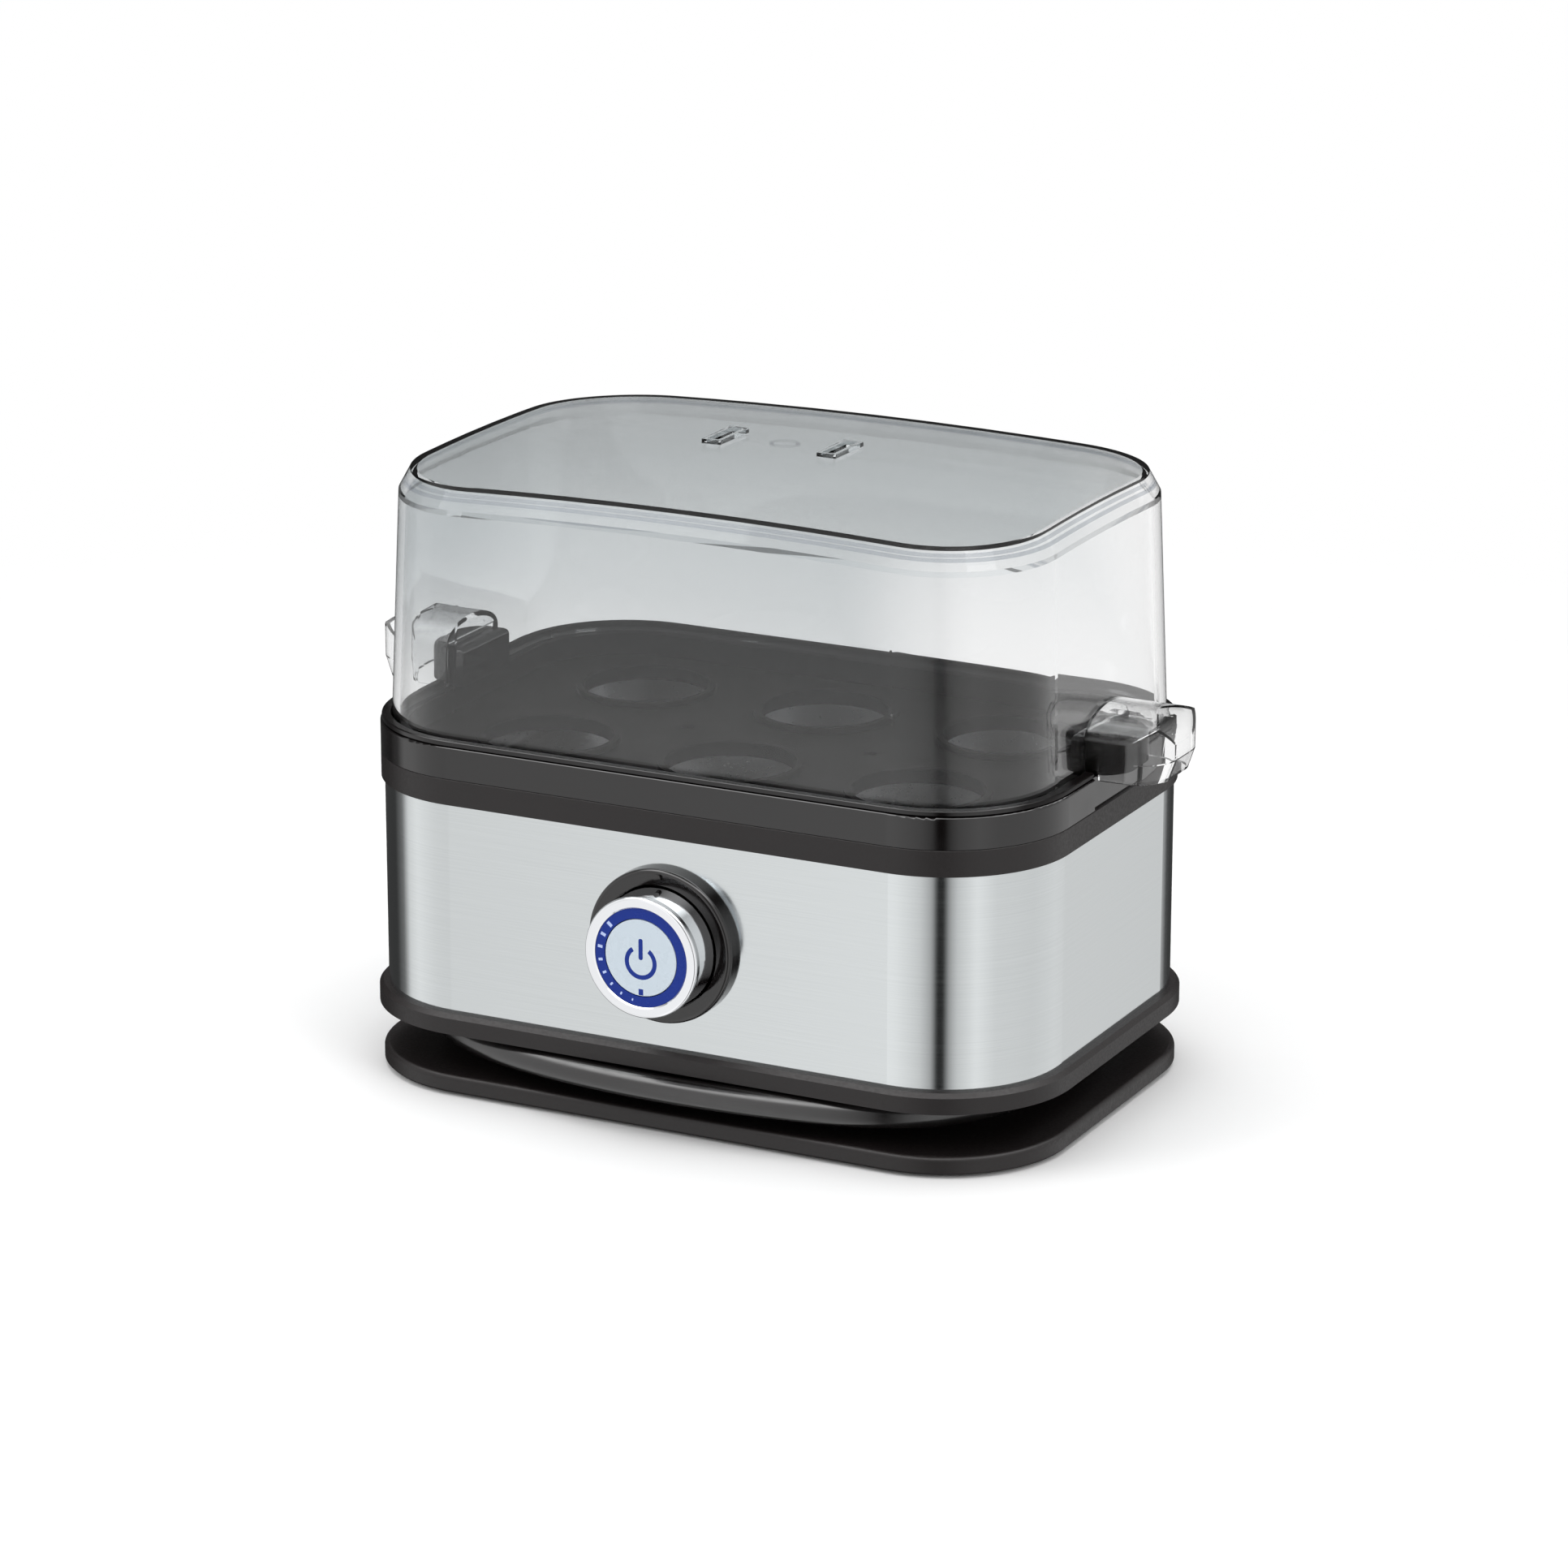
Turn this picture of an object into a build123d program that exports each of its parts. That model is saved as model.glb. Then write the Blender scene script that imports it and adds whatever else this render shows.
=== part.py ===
from build123d import *
import math
import os

# Electric egg cooker: a rounded box with a steel band, an egg tray, a clear lid,
# and a dial with a button at its centre. Front faces -Y, sizes in millimetres.

os.makedirs("parts", exist_ok=True)

# Fits shared by all pieces
slip_fit = 0.3
shaft_fit = 0.06
press_fit = 0.02
overcut = 1.0

# Outline of the steel band, which every shell follows
steel_half_x = 87.0
steel_half_y = 58.3
steel_corner = 30.0
steel_wall = 0.8
steel_height = 51.2

# Foot plate and its pads
pad_drop = 0.8
pad_radius = 7.0
pad_recess = 1.4
pad_inset_x = 25.0
pad_inset_y = 24.3
pad_clearance = 0.1
pad_edge = 0.3
plate_thick = 4.4
plate_out = 1.4
plate_edge = 1.3
plate_chamfer = 0.6

# Cord groove and hub
groove_height = 10.6
hub_inset_x = 31.0
hub_inset_y = 24.3
hub_flat = 1.6
hub_round = 32.4
hub_wall = 2.5
cord_pocket_inset = 44.0
cord_pocket_depth = 11.5

# Base pan
pan_floor = 2.5
pan_band_height = 4.9
band_out = 2.3
band_wall = 5.0
band_ledge = 1.0
upstand_height = 6.0
upstand_wall = 1.8
well_setback = 6.0
wire_well_half = 4.5

# Upper band, rim and their ledges
upper_band_height = 6.4
upper_out = 0.85
upper_wall = 2.65
flange_drop = 3.0
flange_wall = 1.6
flange_clearance = 0.2
post_inset = 12.5
post_radius = 3.8
post_split = 36.0
post_gap = 0.05
web_shift = 2.6
web_radius = 5.0
upper_edge = 0.3
rim_height = 7.6
rim_lip_wall = 1.25
rim_lip_depth = 2.2
rim_wall = 4.45
rim_skirt = 4.3
skirt_clearance = 0.2
rim_edge = 0.6
tub_ledge_wall = 2.0
tub_ledge_inset = 10.5
pocket_depth = 0.7
pocket_reach = 10.0

# Screws
screw_radius = 1.4
screw_clearance = 0.1
head_radius = 3.0
head_height = 1.8
head_clearance = 0.2
recess_length = 3.6
recess_width = 0.8
recess_depth = 0.9
foot_screw_inset = 14.0
foot_screw_y = 8.0
foot_screw_length = 9.0
boss_radius = 3.8
housing_screw_length = 14.0
housing_screw_spare = 2.0

# Water tub and heater
seal_thick = 0.8
seal_width = 5.0
tub_wall = 0.8
tub_depth = 11.6
tub_gap = 0.5
tub_flange_gap = 0.6
tub_corner = 19.0
tub_bend = 3.0
heater_plate_inset_x = 23.0
heater_plate_inset_y = 20.3
heater_plate_corner = 20.0
heater_plate_thick = 5.0
element_radius = 3.0
element_inset_x = 14.0
element_inset_y = 10.0
element_corner = 16.0
element_end = 10.0
element_room = 4.0
thermostat_radius = 9.0
thermostat_height = 8.0
thermostat_edge = 1.0
lug_drop = 4.8
lug_length = 6.0
lug_sunk = 4.0
lug_width = 4.0
lug_thick = 1.2
front_lug_x = -8.0
fuse_inset = 22.0
fuse_radius = 2.2
fuse_length = 13.0

# Egg tray
tray_floor = 2.0
tray_wall = 1.6
tray_ledge = 1.4
tray_side_gap = 0.5
ridge_width = 2.1
ridge_height = 1.1
ridge_web = 0.9
ridge_edge = 0.45
tray_seat_gap = 0.2
seat_radius = 15.5
seat_rim_width = 1.6
seat_rim_height = 1.5
seat_pitch_x = 48.5
seat_pitch_y = 49.0
drain_radius = 1.6
notch_half = 13.7
tray_notch_in = 3.0
handle_in = 7.7
handle_out = 6.0
handle_half = 11.2
handle_top = 95.0
handle_corner = 7.5
handle_wall = 2.0
handle_gap = 0.6
handle_edge = 1.6

# Lid
lid_wall = 1.8
lid_inset = 1.9
lid_shoulder_inset = 4.0
lid_shoulder_corner = 28.4
lid_top = 149.45
lid_seat_gap = 0.2
crown_sag_x = 2.68
crown_span_x = 85.0
crown_sag_y = 1.91
crown_span_y = 56.0
crown_tool_drop = 20.0
step_in = 4.9
step_down = 2.6
hood_wall = 1.3
hood_lip_half = 12.7
hood_half = 13.4
hood_lip_out = 15.3
hood_out = 17.0
hood_lip = 85.2
hood_wide = 90.0
hood_side_top = 94.6
hood_arch_top = 100.6
hood_corner = 9.0
hood_lip_corner = 8.0
hood_dome = 7.0
hood_lap = 0.2
arch_half = 12.0
arch_top = 96.0
vent_places = [(-19.0, 9.2), (11.3, 9.1)]
vent_width = 3.0
vent_length = 12.6
vent_curb = 1.0
vent_curb_height = 0.9

# Dial: bezel, knob and button, measured outward from the steel
dial_rise = 25.6
bezel_radius = 18.6
bezel_proud = 3.0
bezel_dish_radius = 15.0
bezel_dish_floor = 1.3
bezel_edge = 1.1
bezel_neck_radius = 13.0
bezel_neck_wall = 2.0
bezel_neck_depth = 5.3
bezel_clearance = 0.1
bezel_nub_radius = 0.9
bezel_nub_height = 0.6
bezel_nub_sunk = 0.4
nut_radius = 16.5
nut_sides = 8
nut_thick = 2.6
thread_gap = 0.05
knob_face = 12.0
knob_barrel = 14.8
knob_taper = 9.0
knob_ring = 14.5
knob_ring_depth = 1.8
knob_edge = 0.7
knob_inner_edge = 0.3
knob_bore = 11.85
ring_outer = 11.8
ring_inner = 9.4
ring_thick = 1.5
ring_recess = 0.4
button_radius = 9.2
button_thick = 2.5
button_travel = 1.0
button_edge = 0.17
hub_floor = 4.2
hub_floor_thick = 2.5
sleeve_radius = 6.6
sleeve_wall = 1.1
sleeve_gap = 1.3
stem_radius = 3.0
stem_seat = 1.0
stem_back = 8.3
mark_depth = 0.25
mark_count = 8
mark_first = 12.0
mark_step = 17.0
mark_length_first = 0.6
mark_length_step = 0.12
mark_width_first = 0.35
mark_width_step = 0.07
symbol_depth = 0.3
symbol_line = 1.1
symbol_arc = 3.6
symbol_gap_angle = 70.0
symbol_bar = 5.1
symbol_drop = 1.1
symbol_bar_rise = 0.6
symbol_round = 0.5
pointer_length = 1.5
pointer_width = 1.2
pointer_inset = 0.2

# Board and what it carries
board_half_x = 34.0
board_half_z = 17.0
board_thick = 1.6
board_setback = 12.7
encoder_radius = 11.0
encoder_depth = 5.8
switch_side = 7.0
switch_bore = 1.8
switch_floor = 0.5
plunger_radius = 1.75
plunger_gap = 0.3
board_screw_inset = 4.0
board_screw_length = 5.0
upright_width = 7.0
upright_depth = 4.0
relay_size = (19.0, 15.0, 16.0)
relay_place = (-14.0, 1.0)
relay_edge = 0.6
capacitor_radius = 5.0
capacitor_length = 14.0
capacitor_place = (8.0, 6.0)
buzzer_radius = 6.0
buzzer_length = 8.0
buzzer_place = (17.0, -9.0)

# Terminal block and inner wires
block_size = (24.0, 17.0, 13.7)
block_setback = 5.0
block_screw_radius = 1.8
block_screw_depth = 2.0
wire_radius = 1.0
wire_pitch = 2.1
wire_bend = 4.0
element_wire_bend = 3.0
lug_wire_bend = 2.0
board_wire_bend = 5.0
board_wire_low = 5.5
board_wire_high = 4.0
board_wire_room = 12.0
board_wire_spread = 4.0
earth_offset = 7.0
earth_room = 10.0
earth_climb = 12.0

# Cord
cord_radius = 3.25
cord_height = 9.6
gland_height = 10.4
gland_inset = 7.5
relief_length = 26.0
relief_radius = 5.0
relief_tip_radius = 3.9
relief_neck_radius = 4.0
relief_flange_radius = 4.7
relief_flange_thick = 2.0
relief_gap = 0.05
lead_length = 9.5
clip_setback = 2.0
clip_width = 6.0
clip_wall = 1.3
clip_tab = 9.0
clip_tab_sunk = 1.0
clip_screw_inset = 1.5
turn_spacing = 60.0
turn_sample = 3.0
plug_y = 81.0
plug_height = 6.85
plug_left = 2.0
plug_length = 34.0
plug_width = 35.3
plug_thick = 13.7
plug_edge = 3.0
plug_round = 2.6
plug_back_width = 22.0
plug_shoulder = 15.0
plug_neck_length = 22.0
plug_neck_radius = 5.6
pin_radius = 2.0
pin_length = 19.0
pin_round = 0.9
pin_spacing = 18.6

# Heights that follow from the sizes above
plate_top = pad_drop + plate_thick
pan_bottom = plate_top + groove_height
pan_inside = pan_bottom + pan_floor
block_top = pan_inside + block_size[2]
steel_bottom = pan_bottom + pan_band_height
steel_top = steel_bottom + steel_height
rim_bottom = steel_top + upper_band_height
rim_top = rim_bottom + rim_height
rim_rebate = rim_top - rim_lip_depth
skirt_bottom = rim_bottom - rim_skirt
tub_ledge_top = skirt_bottom + tub_ledge_wall
tub_flange_bottom = tub_ledge_top + seal_thick
tub_flange_top = tub_flange_bottom + tub_wall
tub_bottom = tub_flange_top - tub_depth
heater_bottom = tub_bottom - heater_plate_thick
tray_bottom = tub_flange_top + tray_seat_gap
tray_inside = tray_bottom + tray_floor
tray_ledge_bottom = rim_rebate + tray_seat_gap
tray_ledge_top = tray_ledge_bottom + tray_ledge
ridge_bottom = rim_top + slip_fit
ridge_top = ridge_bottom + ridge_height
lid_foot = tray_ledge_top + lid_seat_gap
dial_z = steel_bottom + dial_rise
frame_shift = (knob_face - band_out) / 2

# Insets that follow: how far each face stands in from the steel band's outline
lip_inset = rim_lip_wall - upper_out
rim_inset = rim_wall - upper_out
skirt_inset = upper_wall - upper_out + skirt_clearance
web_inset = lip_inset + slip_fit
web_inner_inset = web_inset + ridge_web
ridge_inset = web_inner_inset - ridge_width
tray_inset = rim_inset + tray_side_gap
tray_inner_inset = tray_inset + tray_wall
tub_flange_inset = rim_inset + tub_flange_gap
tub_inset = tub_ledge_inset + tub_gap
flange_inset = steel_wall + flange_clearance

# Places that follow from the body's outline
pad_x = steel_half_x - pad_inset_x
pad_y = steel_half_y - pad_inset_y
post_x = steel_half_x - post_inset
post_y = steel_half_y - post_inset
hub_half_x = steel_half_x - hub_inset_x
hub_half_y = steel_half_y - hub_inset_y
hub_corner = min(hub_round, hub_half_y - hub_flat)
cord_pocket_left = cord_pocket_inset - hub_half_x
gland_y = hub_half_y - gland_inset
cord_pocket_floor = gland_y - cord_pocket_depth
foot_screw_x = hub_half_x - foot_screw_inset
heater_plate_half_x = steel_half_x - heater_plate_inset_x
heater_plate_half_y = steel_half_y - heater_plate_inset_y
element_half_x = heater_plate_half_x - element_inset_x
element_half_y = heater_plate_half_y - element_inset_y
fuse_x = element_half_x - fuse_inset
handle_inner = steel_half_x - handle_in
handle_outer = steel_half_x + handle_out
hood_lip_tip = steel_half_x + hood_lip_out
hood_tip = steel_half_x + hood_out

plate_screw_places = [(x, y) for x in (-foot_screw_x, foot_screw_x) for y in (-foot_screw_y, foot_screw_y)]
pad_places = [(x, y) for x in (-pad_x, pad_x) for y in (-pad_y, pad_y)]
post_places = [(x, y) for x in (-post_x, post_x) for y in (-post_y, post_y)]
board_half_screw_x = board_half_x - board_screw_inset
board_half_screw_z = board_half_z - board_screw_inset


def plan(height, inset, corner=None):
    """The body's outline at a height, drawn in from the steel band."""
    radius = steel_corner - inset if corner is None else corner
    with BuildSketch(Plane.XY.offset(height)) as outline:
        RectangleRounded(2 * (steel_half_x - inset), 2 * (steel_half_y - inset), radius)
    return outline.sketch


def ring_plan(height, outer_inset, inner_inset):
    """A band between two outlines of the body."""
    with BuildSketch(Plane.XY.offset(height)) as outline:
        add(plan(0, outer_inset))
        add(plan(0, inner_inset), mode=Mode.SUBTRACT)
    return outline.sketch


def dots(plane, places, radius):
    """Round discs of one radius at several places on a plane."""
    with BuildSketch(plane) as discs:
        with Locations(*places):
            Circle(radius)
    return discs.sketch


def dial_plane(out):
    """A plane facing the viewer, that far out from the steel, centred on the dial."""
    return Plane(origin=(0, -steel_half_y - out, dial_z), x_dir=(1, 0, 0), z_dir=(0, -1, 0))


def disc(plane, radius, hole=0.0):
    """A round face, with a round hole where one is given."""
    with BuildSketch(plane) as face:
        Circle(radius)
        if hole > 0:
            Circle(hole, mode=Mode.SUBTRACT)
    return face.sketch


def screw_set(head_plane, places, shank_length):
    """Pan-head screws: each head stands on the plane's far side, its shank runs along the plane's normal."""
    extrude(dots(head_plane, places, head_radius), amount=-head_height)
    extrude(dots(head_plane, places, screw_radius), amount=shank_length)
    with BuildSketch(head_plane.offset(-head_height)) as recesses:
        with Locations(*places):
            Rectangle(recess_width, recess_length)
            Rectangle(recess_length, recess_width)
    extrude(recesses.sketch, amount=recess_depth, mode=Mode.SUBTRACT)


def wire_path(points, bend):
    """A wire along straight runs joined by bends."""
    with BuildLine() as path:
        if len(points) > 2:
            FilletPolyline(*points, radius=bend)
        else:
            Line(*points)
    with BuildSketch(Plane(origin=path.line @ 0, z_dir=path.line % 0)) as section:
        Circle(wire_radius)
    sweep(section.sketch, path=path.line)


def finish_part(builder, label):
    """Name the piece, set the origin under the middle of the object and write its file."""
    piece = builder.part.moved(Location((0, frame_shift, 0)))
    piece.label = label
    export_step(piece, f"parts/{label}.step")


# Foot plate, its pads and the screws that hold it to the hub
with BuildPart() as foot_plate:
    extrude(plan(pad_drop, -plate_out), amount=plate_thick)
    fillet(foot_plate.faces().sort_by(Axis.Z)[-1].edges(), radius=plate_edge)
    chamfer(foot_plate.faces().sort_by(Axis.Z)[0].edges(), length=plate_chamfer)
    extrude(dots(Plane.XY.offset(pad_drop), pad_places, pad_radius + pad_clearance),
            amount=pad_recess, mode=Mode.SUBTRACT)
    extrude(dots(Plane.XY.offset(pad_drop), plate_screw_places, head_radius + slip_fit),
            amount=head_height + head_clearance, mode=Mode.SUBTRACT)
    extrude(dots(Plane.XY.offset(pad_drop), plate_screw_places, screw_radius + screw_clearance),
            amount=plate_thick, mode=Mode.SUBTRACT)
finish_part(foot_plate, "foot_plate")

with BuildPart() as rubber_feet:
    extrude(dots(Plane.XY, pad_places, pad_radius), amount=pad_drop + pad_recess)
    chamfer(rubber_feet.faces().group_by(Axis.Z)[0].edges(), length=pad_edge)
finish_part(rubber_feet, "rubber_feet")

with BuildPart() as foot_screws:
    screw_set(Plane.XY.offset(pad_drop + head_height + head_clearance), plate_screw_places, foot_screw_length)
finish_part(foot_screws, "foot_screws")


def hub_plan(height, inset):
    """The cord hub's outline, with the flat pocket that the cord leaves from."""
    pocket_left = cord_pocket_left - inset
    pocket_front = cord_pocket_floor - inset
    pocket_x = hub_half_x + overcut - pocket_left
    pocket_y = hub_half_y + overcut - pocket_front
    with BuildSketch(Plane.XY.offset(height)) as outline:
        RectangleRounded(2 * (hub_half_x - inset), 2 * (hub_half_y - inset), hub_corner - inset)
        with Locations((pocket_left + pocket_x / 2, pocket_front + pocket_y / 2)):
            Rectangle(pocket_x, pocket_y, mode=Mode.SUBTRACT)
    return outline.sketch


# Base pan: outer band, floor, cord hub and its bosses
wire_well_x = cord_pocket_left - hub_wall - relief_flange_thick - lead_length - well_setback
with BuildPart() as base_pan:
    extrude(plan(pan_bottom, -band_out), amount=pan_floor)
    extrude(ring_plan(pan_bottom, -band_out, band_wall - band_out), amount=pan_band_height)
    chamfer(base_pan.faces().sort_by(Axis.Z)[-1].outer_wire().edges(), length=band_ledge)
    extrude(ring_plan(pan_inside, flange_inset, flange_inset + upstand_wall),
            amount=pan_band_height - pan_floor + upstand_height)
    extrude(hub_plan(plate_top, 0), amount=groove_height)
    extrude(hub_plan(plate_top, hub_wall), amount=groove_height, mode=Mode.SUBTRACT)
    extrude(dots(Plane.XY.offset(plate_top), plate_screw_places, boss_radius), amount=groove_height)
    extrude(dots(Plane.XY.offset(plate_top), plate_screw_places, screw_radius + press_fit),
            amount=groove_height, mode=Mode.SUBTRACT)
    extrude(dots(Plane.XY.offset(pan_inside), post_places, post_radius), amount=post_split - pan_inside)
    extrude(dots(Plane.XY.offset(pan_bottom), post_places, screw_radius + press_fit),
            amount=post_split - pan_bottom, mode=Mode.SUBTRACT)
    extrude(dots(Plane.XY.offset(pan_bottom), post_places, head_radius + screw_clearance),
            amount=head_height, mode=Mode.SUBTRACT)
    with Locations((wire_well_x, gland_y, pan_bottom + pan_floor / 2)):
        Box(2 * wire_well_half, 2 * wire_well_half, pan_floor, mode=Mode.SUBTRACT)
    with Locations(Plane(origin=(cord_pocket_left, gland_y, gland_height), z_dir=(1, 0, 0))):
        Hole(relief_neck_radius + relief_gap, depth=hub_wall + overcut)
finish_part(base_pan, "base_pan")

# Steel band with its hole for the dial
with BuildPart() as steel_band:
    extrude(ring_plan(steel_bottom, 0, steel_wall), amount=steel_height)
    extrude(disc(dial_plane(-steel_wall - overcut), bezel_neck_radius + bezel_clearance),
            amount=steel_wall + 2 * overcut, mode=Mode.SUBTRACT)
finish_part(steel_band, "steel_band")

# Upper band: matt ring on the steel, with posts down to the base pan
with BuildPart() as upper_band:
    extrude(ring_plan(steel_top, -upper_out, upper_wall - upper_out), amount=upper_band_height)
    extrude(ring_plan(steel_top - flange_drop, flange_inset, flange_inset + flange_wall), amount=flange_drop)
    chamfer(upper_band.faces().filter_by(Plane.XY).group_by(Axis.Z)[-1].sort_by(SortBy.AREA)[-1]
            .outer_wire().edges(), length=upper_edge)
    extrude(dots(Plane.XY.offset(post_split + post_gap), post_places, post_radius),
            amount=steel_top - post_split)
    with BuildSketch(Plane.XY.offset(steel_top - flange_drop)) as webs:
        with Locations(*[(math.copysign(post_x + web_shift, x), math.copysign(post_y + web_shift, y))
                         for x, y in post_places]):
            Circle(web_radius)
        add(plan(0, upper_wall - upper_out + slip_fit), mode=Mode.INTERSECT)
    extrude(webs.sketch, amount=flange_drop)
    extrude(dots(Plane.XY.offset(post_split), post_places, screw_radius + press_fit),
            amount=housing_screw_length, mode=Mode.SUBTRACT)
finish_part(upper_band, "upper_band")

housing_shank = post_split - pan_bottom - head_height + housing_screw_length - housing_screw_spare
with BuildPart() as housing_screws:
    screw_set(Plane.XY.offset(pan_bottom + head_height), post_places, housing_shank)
finish_part(housing_screws, "housing_screws")

# Rim: gloss collar with a ledge for the tray, a ledge for the tub and a notch at each end
with BuildPart() as rim:
    extrude(ring_plan(rim_bottom, -upper_out, rim_inset), amount=rim_height - rim_lip_depth)
    extrude(ring_plan(rim_rebate, -upper_out, lip_inset), amount=rim_lip_depth)
    extrude(ring_plan(skirt_bottom, skirt_inset, rim_inset), amount=rim_skirt)
    extrude(ring_plan(skirt_bottom, skirt_inset, tub_ledge_inset), amount=tub_ledge_wall)
    fillet(rim.faces().sort_by(Axis.Z)[-1].outer_wire().edges(), radius=rim_edge)
    for side in (-1, 1):
        with Locations((side * (steel_half_x + upper_out - pocket_depth + pocket_reach / 2), 0,
                        rim_bottom + rim_height / 2)):
            Box(pocket_reach, 2 * notch_half, rim_height, mode=Mode.SUBTRACT)
finish_part(rim, "rim")

# Water tub on its seal
with BuildPart() as tub_seal:
    extrude(ring_plan(tub_ledge_top, tub_flange_inset, tub_flange_inset + seal_width), amount=seal_thick)
finish_part(tub_seal, "tub_seal")

with BuildPart() as tub_hollow:
    extrude(plan(tub_bottom + tub_wall, tub_inset + tub_wall, tub_corner - tub_wall), amount=tub_depth)
    fillet(tub_hollow.faces().sort_by(Axis.Z)[0].edges(), radius=tub_bend - tub_wall)

with BuildPart() as water_tub:
    extrude(plan(tub_bottom, tub_inset, tub_corner), amount=tub_depth)
    fillet(water_tub.faces().sort_by(Axis.Z)[0].edges(), radius=tub_bend)
    extrude(plan(tub_flange_bottom, tub_flange_inset), amount=tub_wall)
    add(tub_hollow.part, mode=Mode.SUBTRACT)
finish_part(water_tub, "water_tub")


def element_path():
    """The heating tube's loop, open at the back."""
    loop = [
        (-element_end, element_half_y, heater_bottom),
        (-element_half_x, element_half_y, heater_bottom),
        (-element_half_x, -element_half_y, heater_bottom),
        (element_half_x, -element_half_y, heater_bottom),
        (element_half_x, element_half_y, heater_bottom),
        (element_end, element_half_y, heater_bottom),
    ]
    with BuildLine() as path:
        FilletPolyline(*loop, radius=element_corner)
    return path.line


def element_tube(radius):
    """A tube along the heating loop."""
    path = element_path()
    with BuildSketch(Plane(origin=path @ 0, z_dir=path % 0)) as section:
        Circle(radius)
    return sweep(section.sketch, path=path, mode=Mode.PRIVATE)


with BuildPart() as heating_element:
    add(element_tube(element_radius))
finish_part(heating_element, "heating_element")

with BuildPart() as heating_plate:
    with BuildSketch(Plane.XY.offset(heater_bottom)) as plate_outline:
        RectangleRounded(2 * heater_plate_half_x, 2 * heater_plate_half_y, heater_plate_corner)
    extrude(amount=heater_plate_thick)
    add(element_tube(element_radius + press_fit), mode=Mode.SUBTRACT)
    with Locations((0, element_half_y, heater_bottom)):
        Box(2 * (element_end + element_room), 2 * element_radius + overcut, 2 * element_radius + overcut,
            mode=Mode.SUBTRACT)
finish_part(heating_plate, "heating_plate")

# Thermostat and thermal fuse under the plate
thermostat_lug_z = heater_bottom - lug_drop
with BuildPart() as thermostat:
    extrude(disc(Plane.XY.offset(heater_bottom), thermostat_radius), amount=-thermostat_height)
    chamfer(thermostat.faces().sort_by(Axis.Z)[0].edges(), length=thermostat_edge)
    with Locations((lug_width, thermostat_radius + lug_length / 2, thermostat_lug_z),
                   (front_lug_x + lug_width / 2, -thermostat_radius - lug_length / 2, thermostat_lug_z)):
        Box(lug_width, lug_length + 2 * lug_sunk, lug_thick)
finish_part(thermostat, "thermostat")

with BuildPart() as thermal_fuse:
    with BuildSketch(Plane(origin=(fuse_x, 0, heater_bottom - fuse_radius), x_dir=(0, 1, 0), z_dir=(1, 0, 0))):
        Circle(fuse_radius)
    extrude(amount=fuse_length)
finish_part(thermal_fuse, "thermal_fuse")

# Dial bezel and the nut that clamps it
with BuildPart() as knob_bezel:
    extrude(disc(dial_plane(0), bezel_radius), amount=bezel_proud)
    fillet(knob_bezel.faces().sort_by(Axis.Y)[0].edges(), radius=bezel_edge)
    extrude(disc(dial_plane(bezel_dish_floor), bezel_dish_radius), amount=bezel_proud, mode=Mode.SUBTRACT)
    extrude(disc(dial_plane(-bezel_neck_depth), bezel_neck_radius), amount=bezel_neck_depth)
    extrude(disc(dial_plane(-bezel_neck_depth), bezel_neck_radius - bezel_neck_wall),
            amount=bezel_neck_depth + bezel_proud, mode=Mode.SUBTRACT)
    nub_middle = (bezel_radius + bezel_dish_radius) / 2
    extrude(dots(dial_plane(bezel_proud - bezel_nub_sunk), [(0, nub_middle)], bezel_nub_radius),
            amount=bezel_nub_height + bezel_nub_sunk)
finish_part(knob_bezel, "knob_bezel")

with BuildPart() as bezel_nut:
    with BuildSketch(dial_plane(-steel_wall - nut_thick)):
        RegularPolygon(nut_radius, nut_sides)
        Circle(bezel_neck_radius + thread_gap, mode=Mode.SUBTRACT)
    extrude(amount=nut_thick)
finish_part(bezel_nut, "bezel_nut")

# Knob: chrome shell, hub with hollow shaft, scale ring and its marks
with BuildPart() as knob_shell:
    knob_back = bezel_dish_floor + slip_fit
    extrude(disc(dial_plane(knob_back), knob_barrel), amount=knob_face - knob_back, taper=knob_taper)
    extrude(disc(dial_plane(knob_face - knob_ring_depth), knob_ring), amount=knob_ring_depth)
    fillet(knob_shell.faces().sort_by(Axis.Y)[0].edges(), radius=knob_edge)
    extrude(disc(dial_plane(0), knob_bore), amount=knob_face + overcut, mode=Mode.SUBTRACT)
    chamfer(knob_shell.faces().sort_by(Axis.Y)[0].inner_wires().edges(), length=knob_inner_edge)
finish_part(knob_shell, "knob_shell")

ring_front = knob_face - ring_recess
switch_front = -stem_back - button_travel - plunger_gap
ring_back = ring_front - ring_thick
with BuildPart() as knob_hub:
    extrude(disc(dial_plane(hub_floor), ring_outer), amount=ring_back - hub_floor)
    extrude(disc(dial_plane(hub_floor + hub_floor_thick), ring_inner - thread_gap), amount=knob_face,
            mode=Mode.SUBTRACT)
    extrude(disc(dial_plane(sleeve_gap - board_setback), sleeve_radius),
            amount=board_setback - sleeve_gap + hub_floor)
    extrude(disc(dial_plane(-board_setback), stem_radius + shaft_fit), amount=board_setback + knob_face,
            mode=Mode.SUBTRACT)
    extrude(disc(dial_plane(-board_setback), sleeve_radius - sleeve_wall),
            amount=board_setback + switch_front + 2 * slip_fit, mode=Mode.SUBTRACT)
finish_part(knob_hub, "knob_hub")


def mark_sketch(plane):
    """Marks round the scale ring, growing clockwise from the bottom."""
    middle = (ring_outer + ring_inner) / 2
    with BuildSketch(plane) as marks:
        for index in range(mark_count):
            angle = -90 - mark_first - mark_step * index
            length = mark_length_first + mark_length_step * index
            width = mark_width_first + mark_width_step * index
            with Locations(Rot(0, 0, angle) * Pos(middle, 0, 0)):
                Rectangle(length, width)
    return marks.sketch


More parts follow.
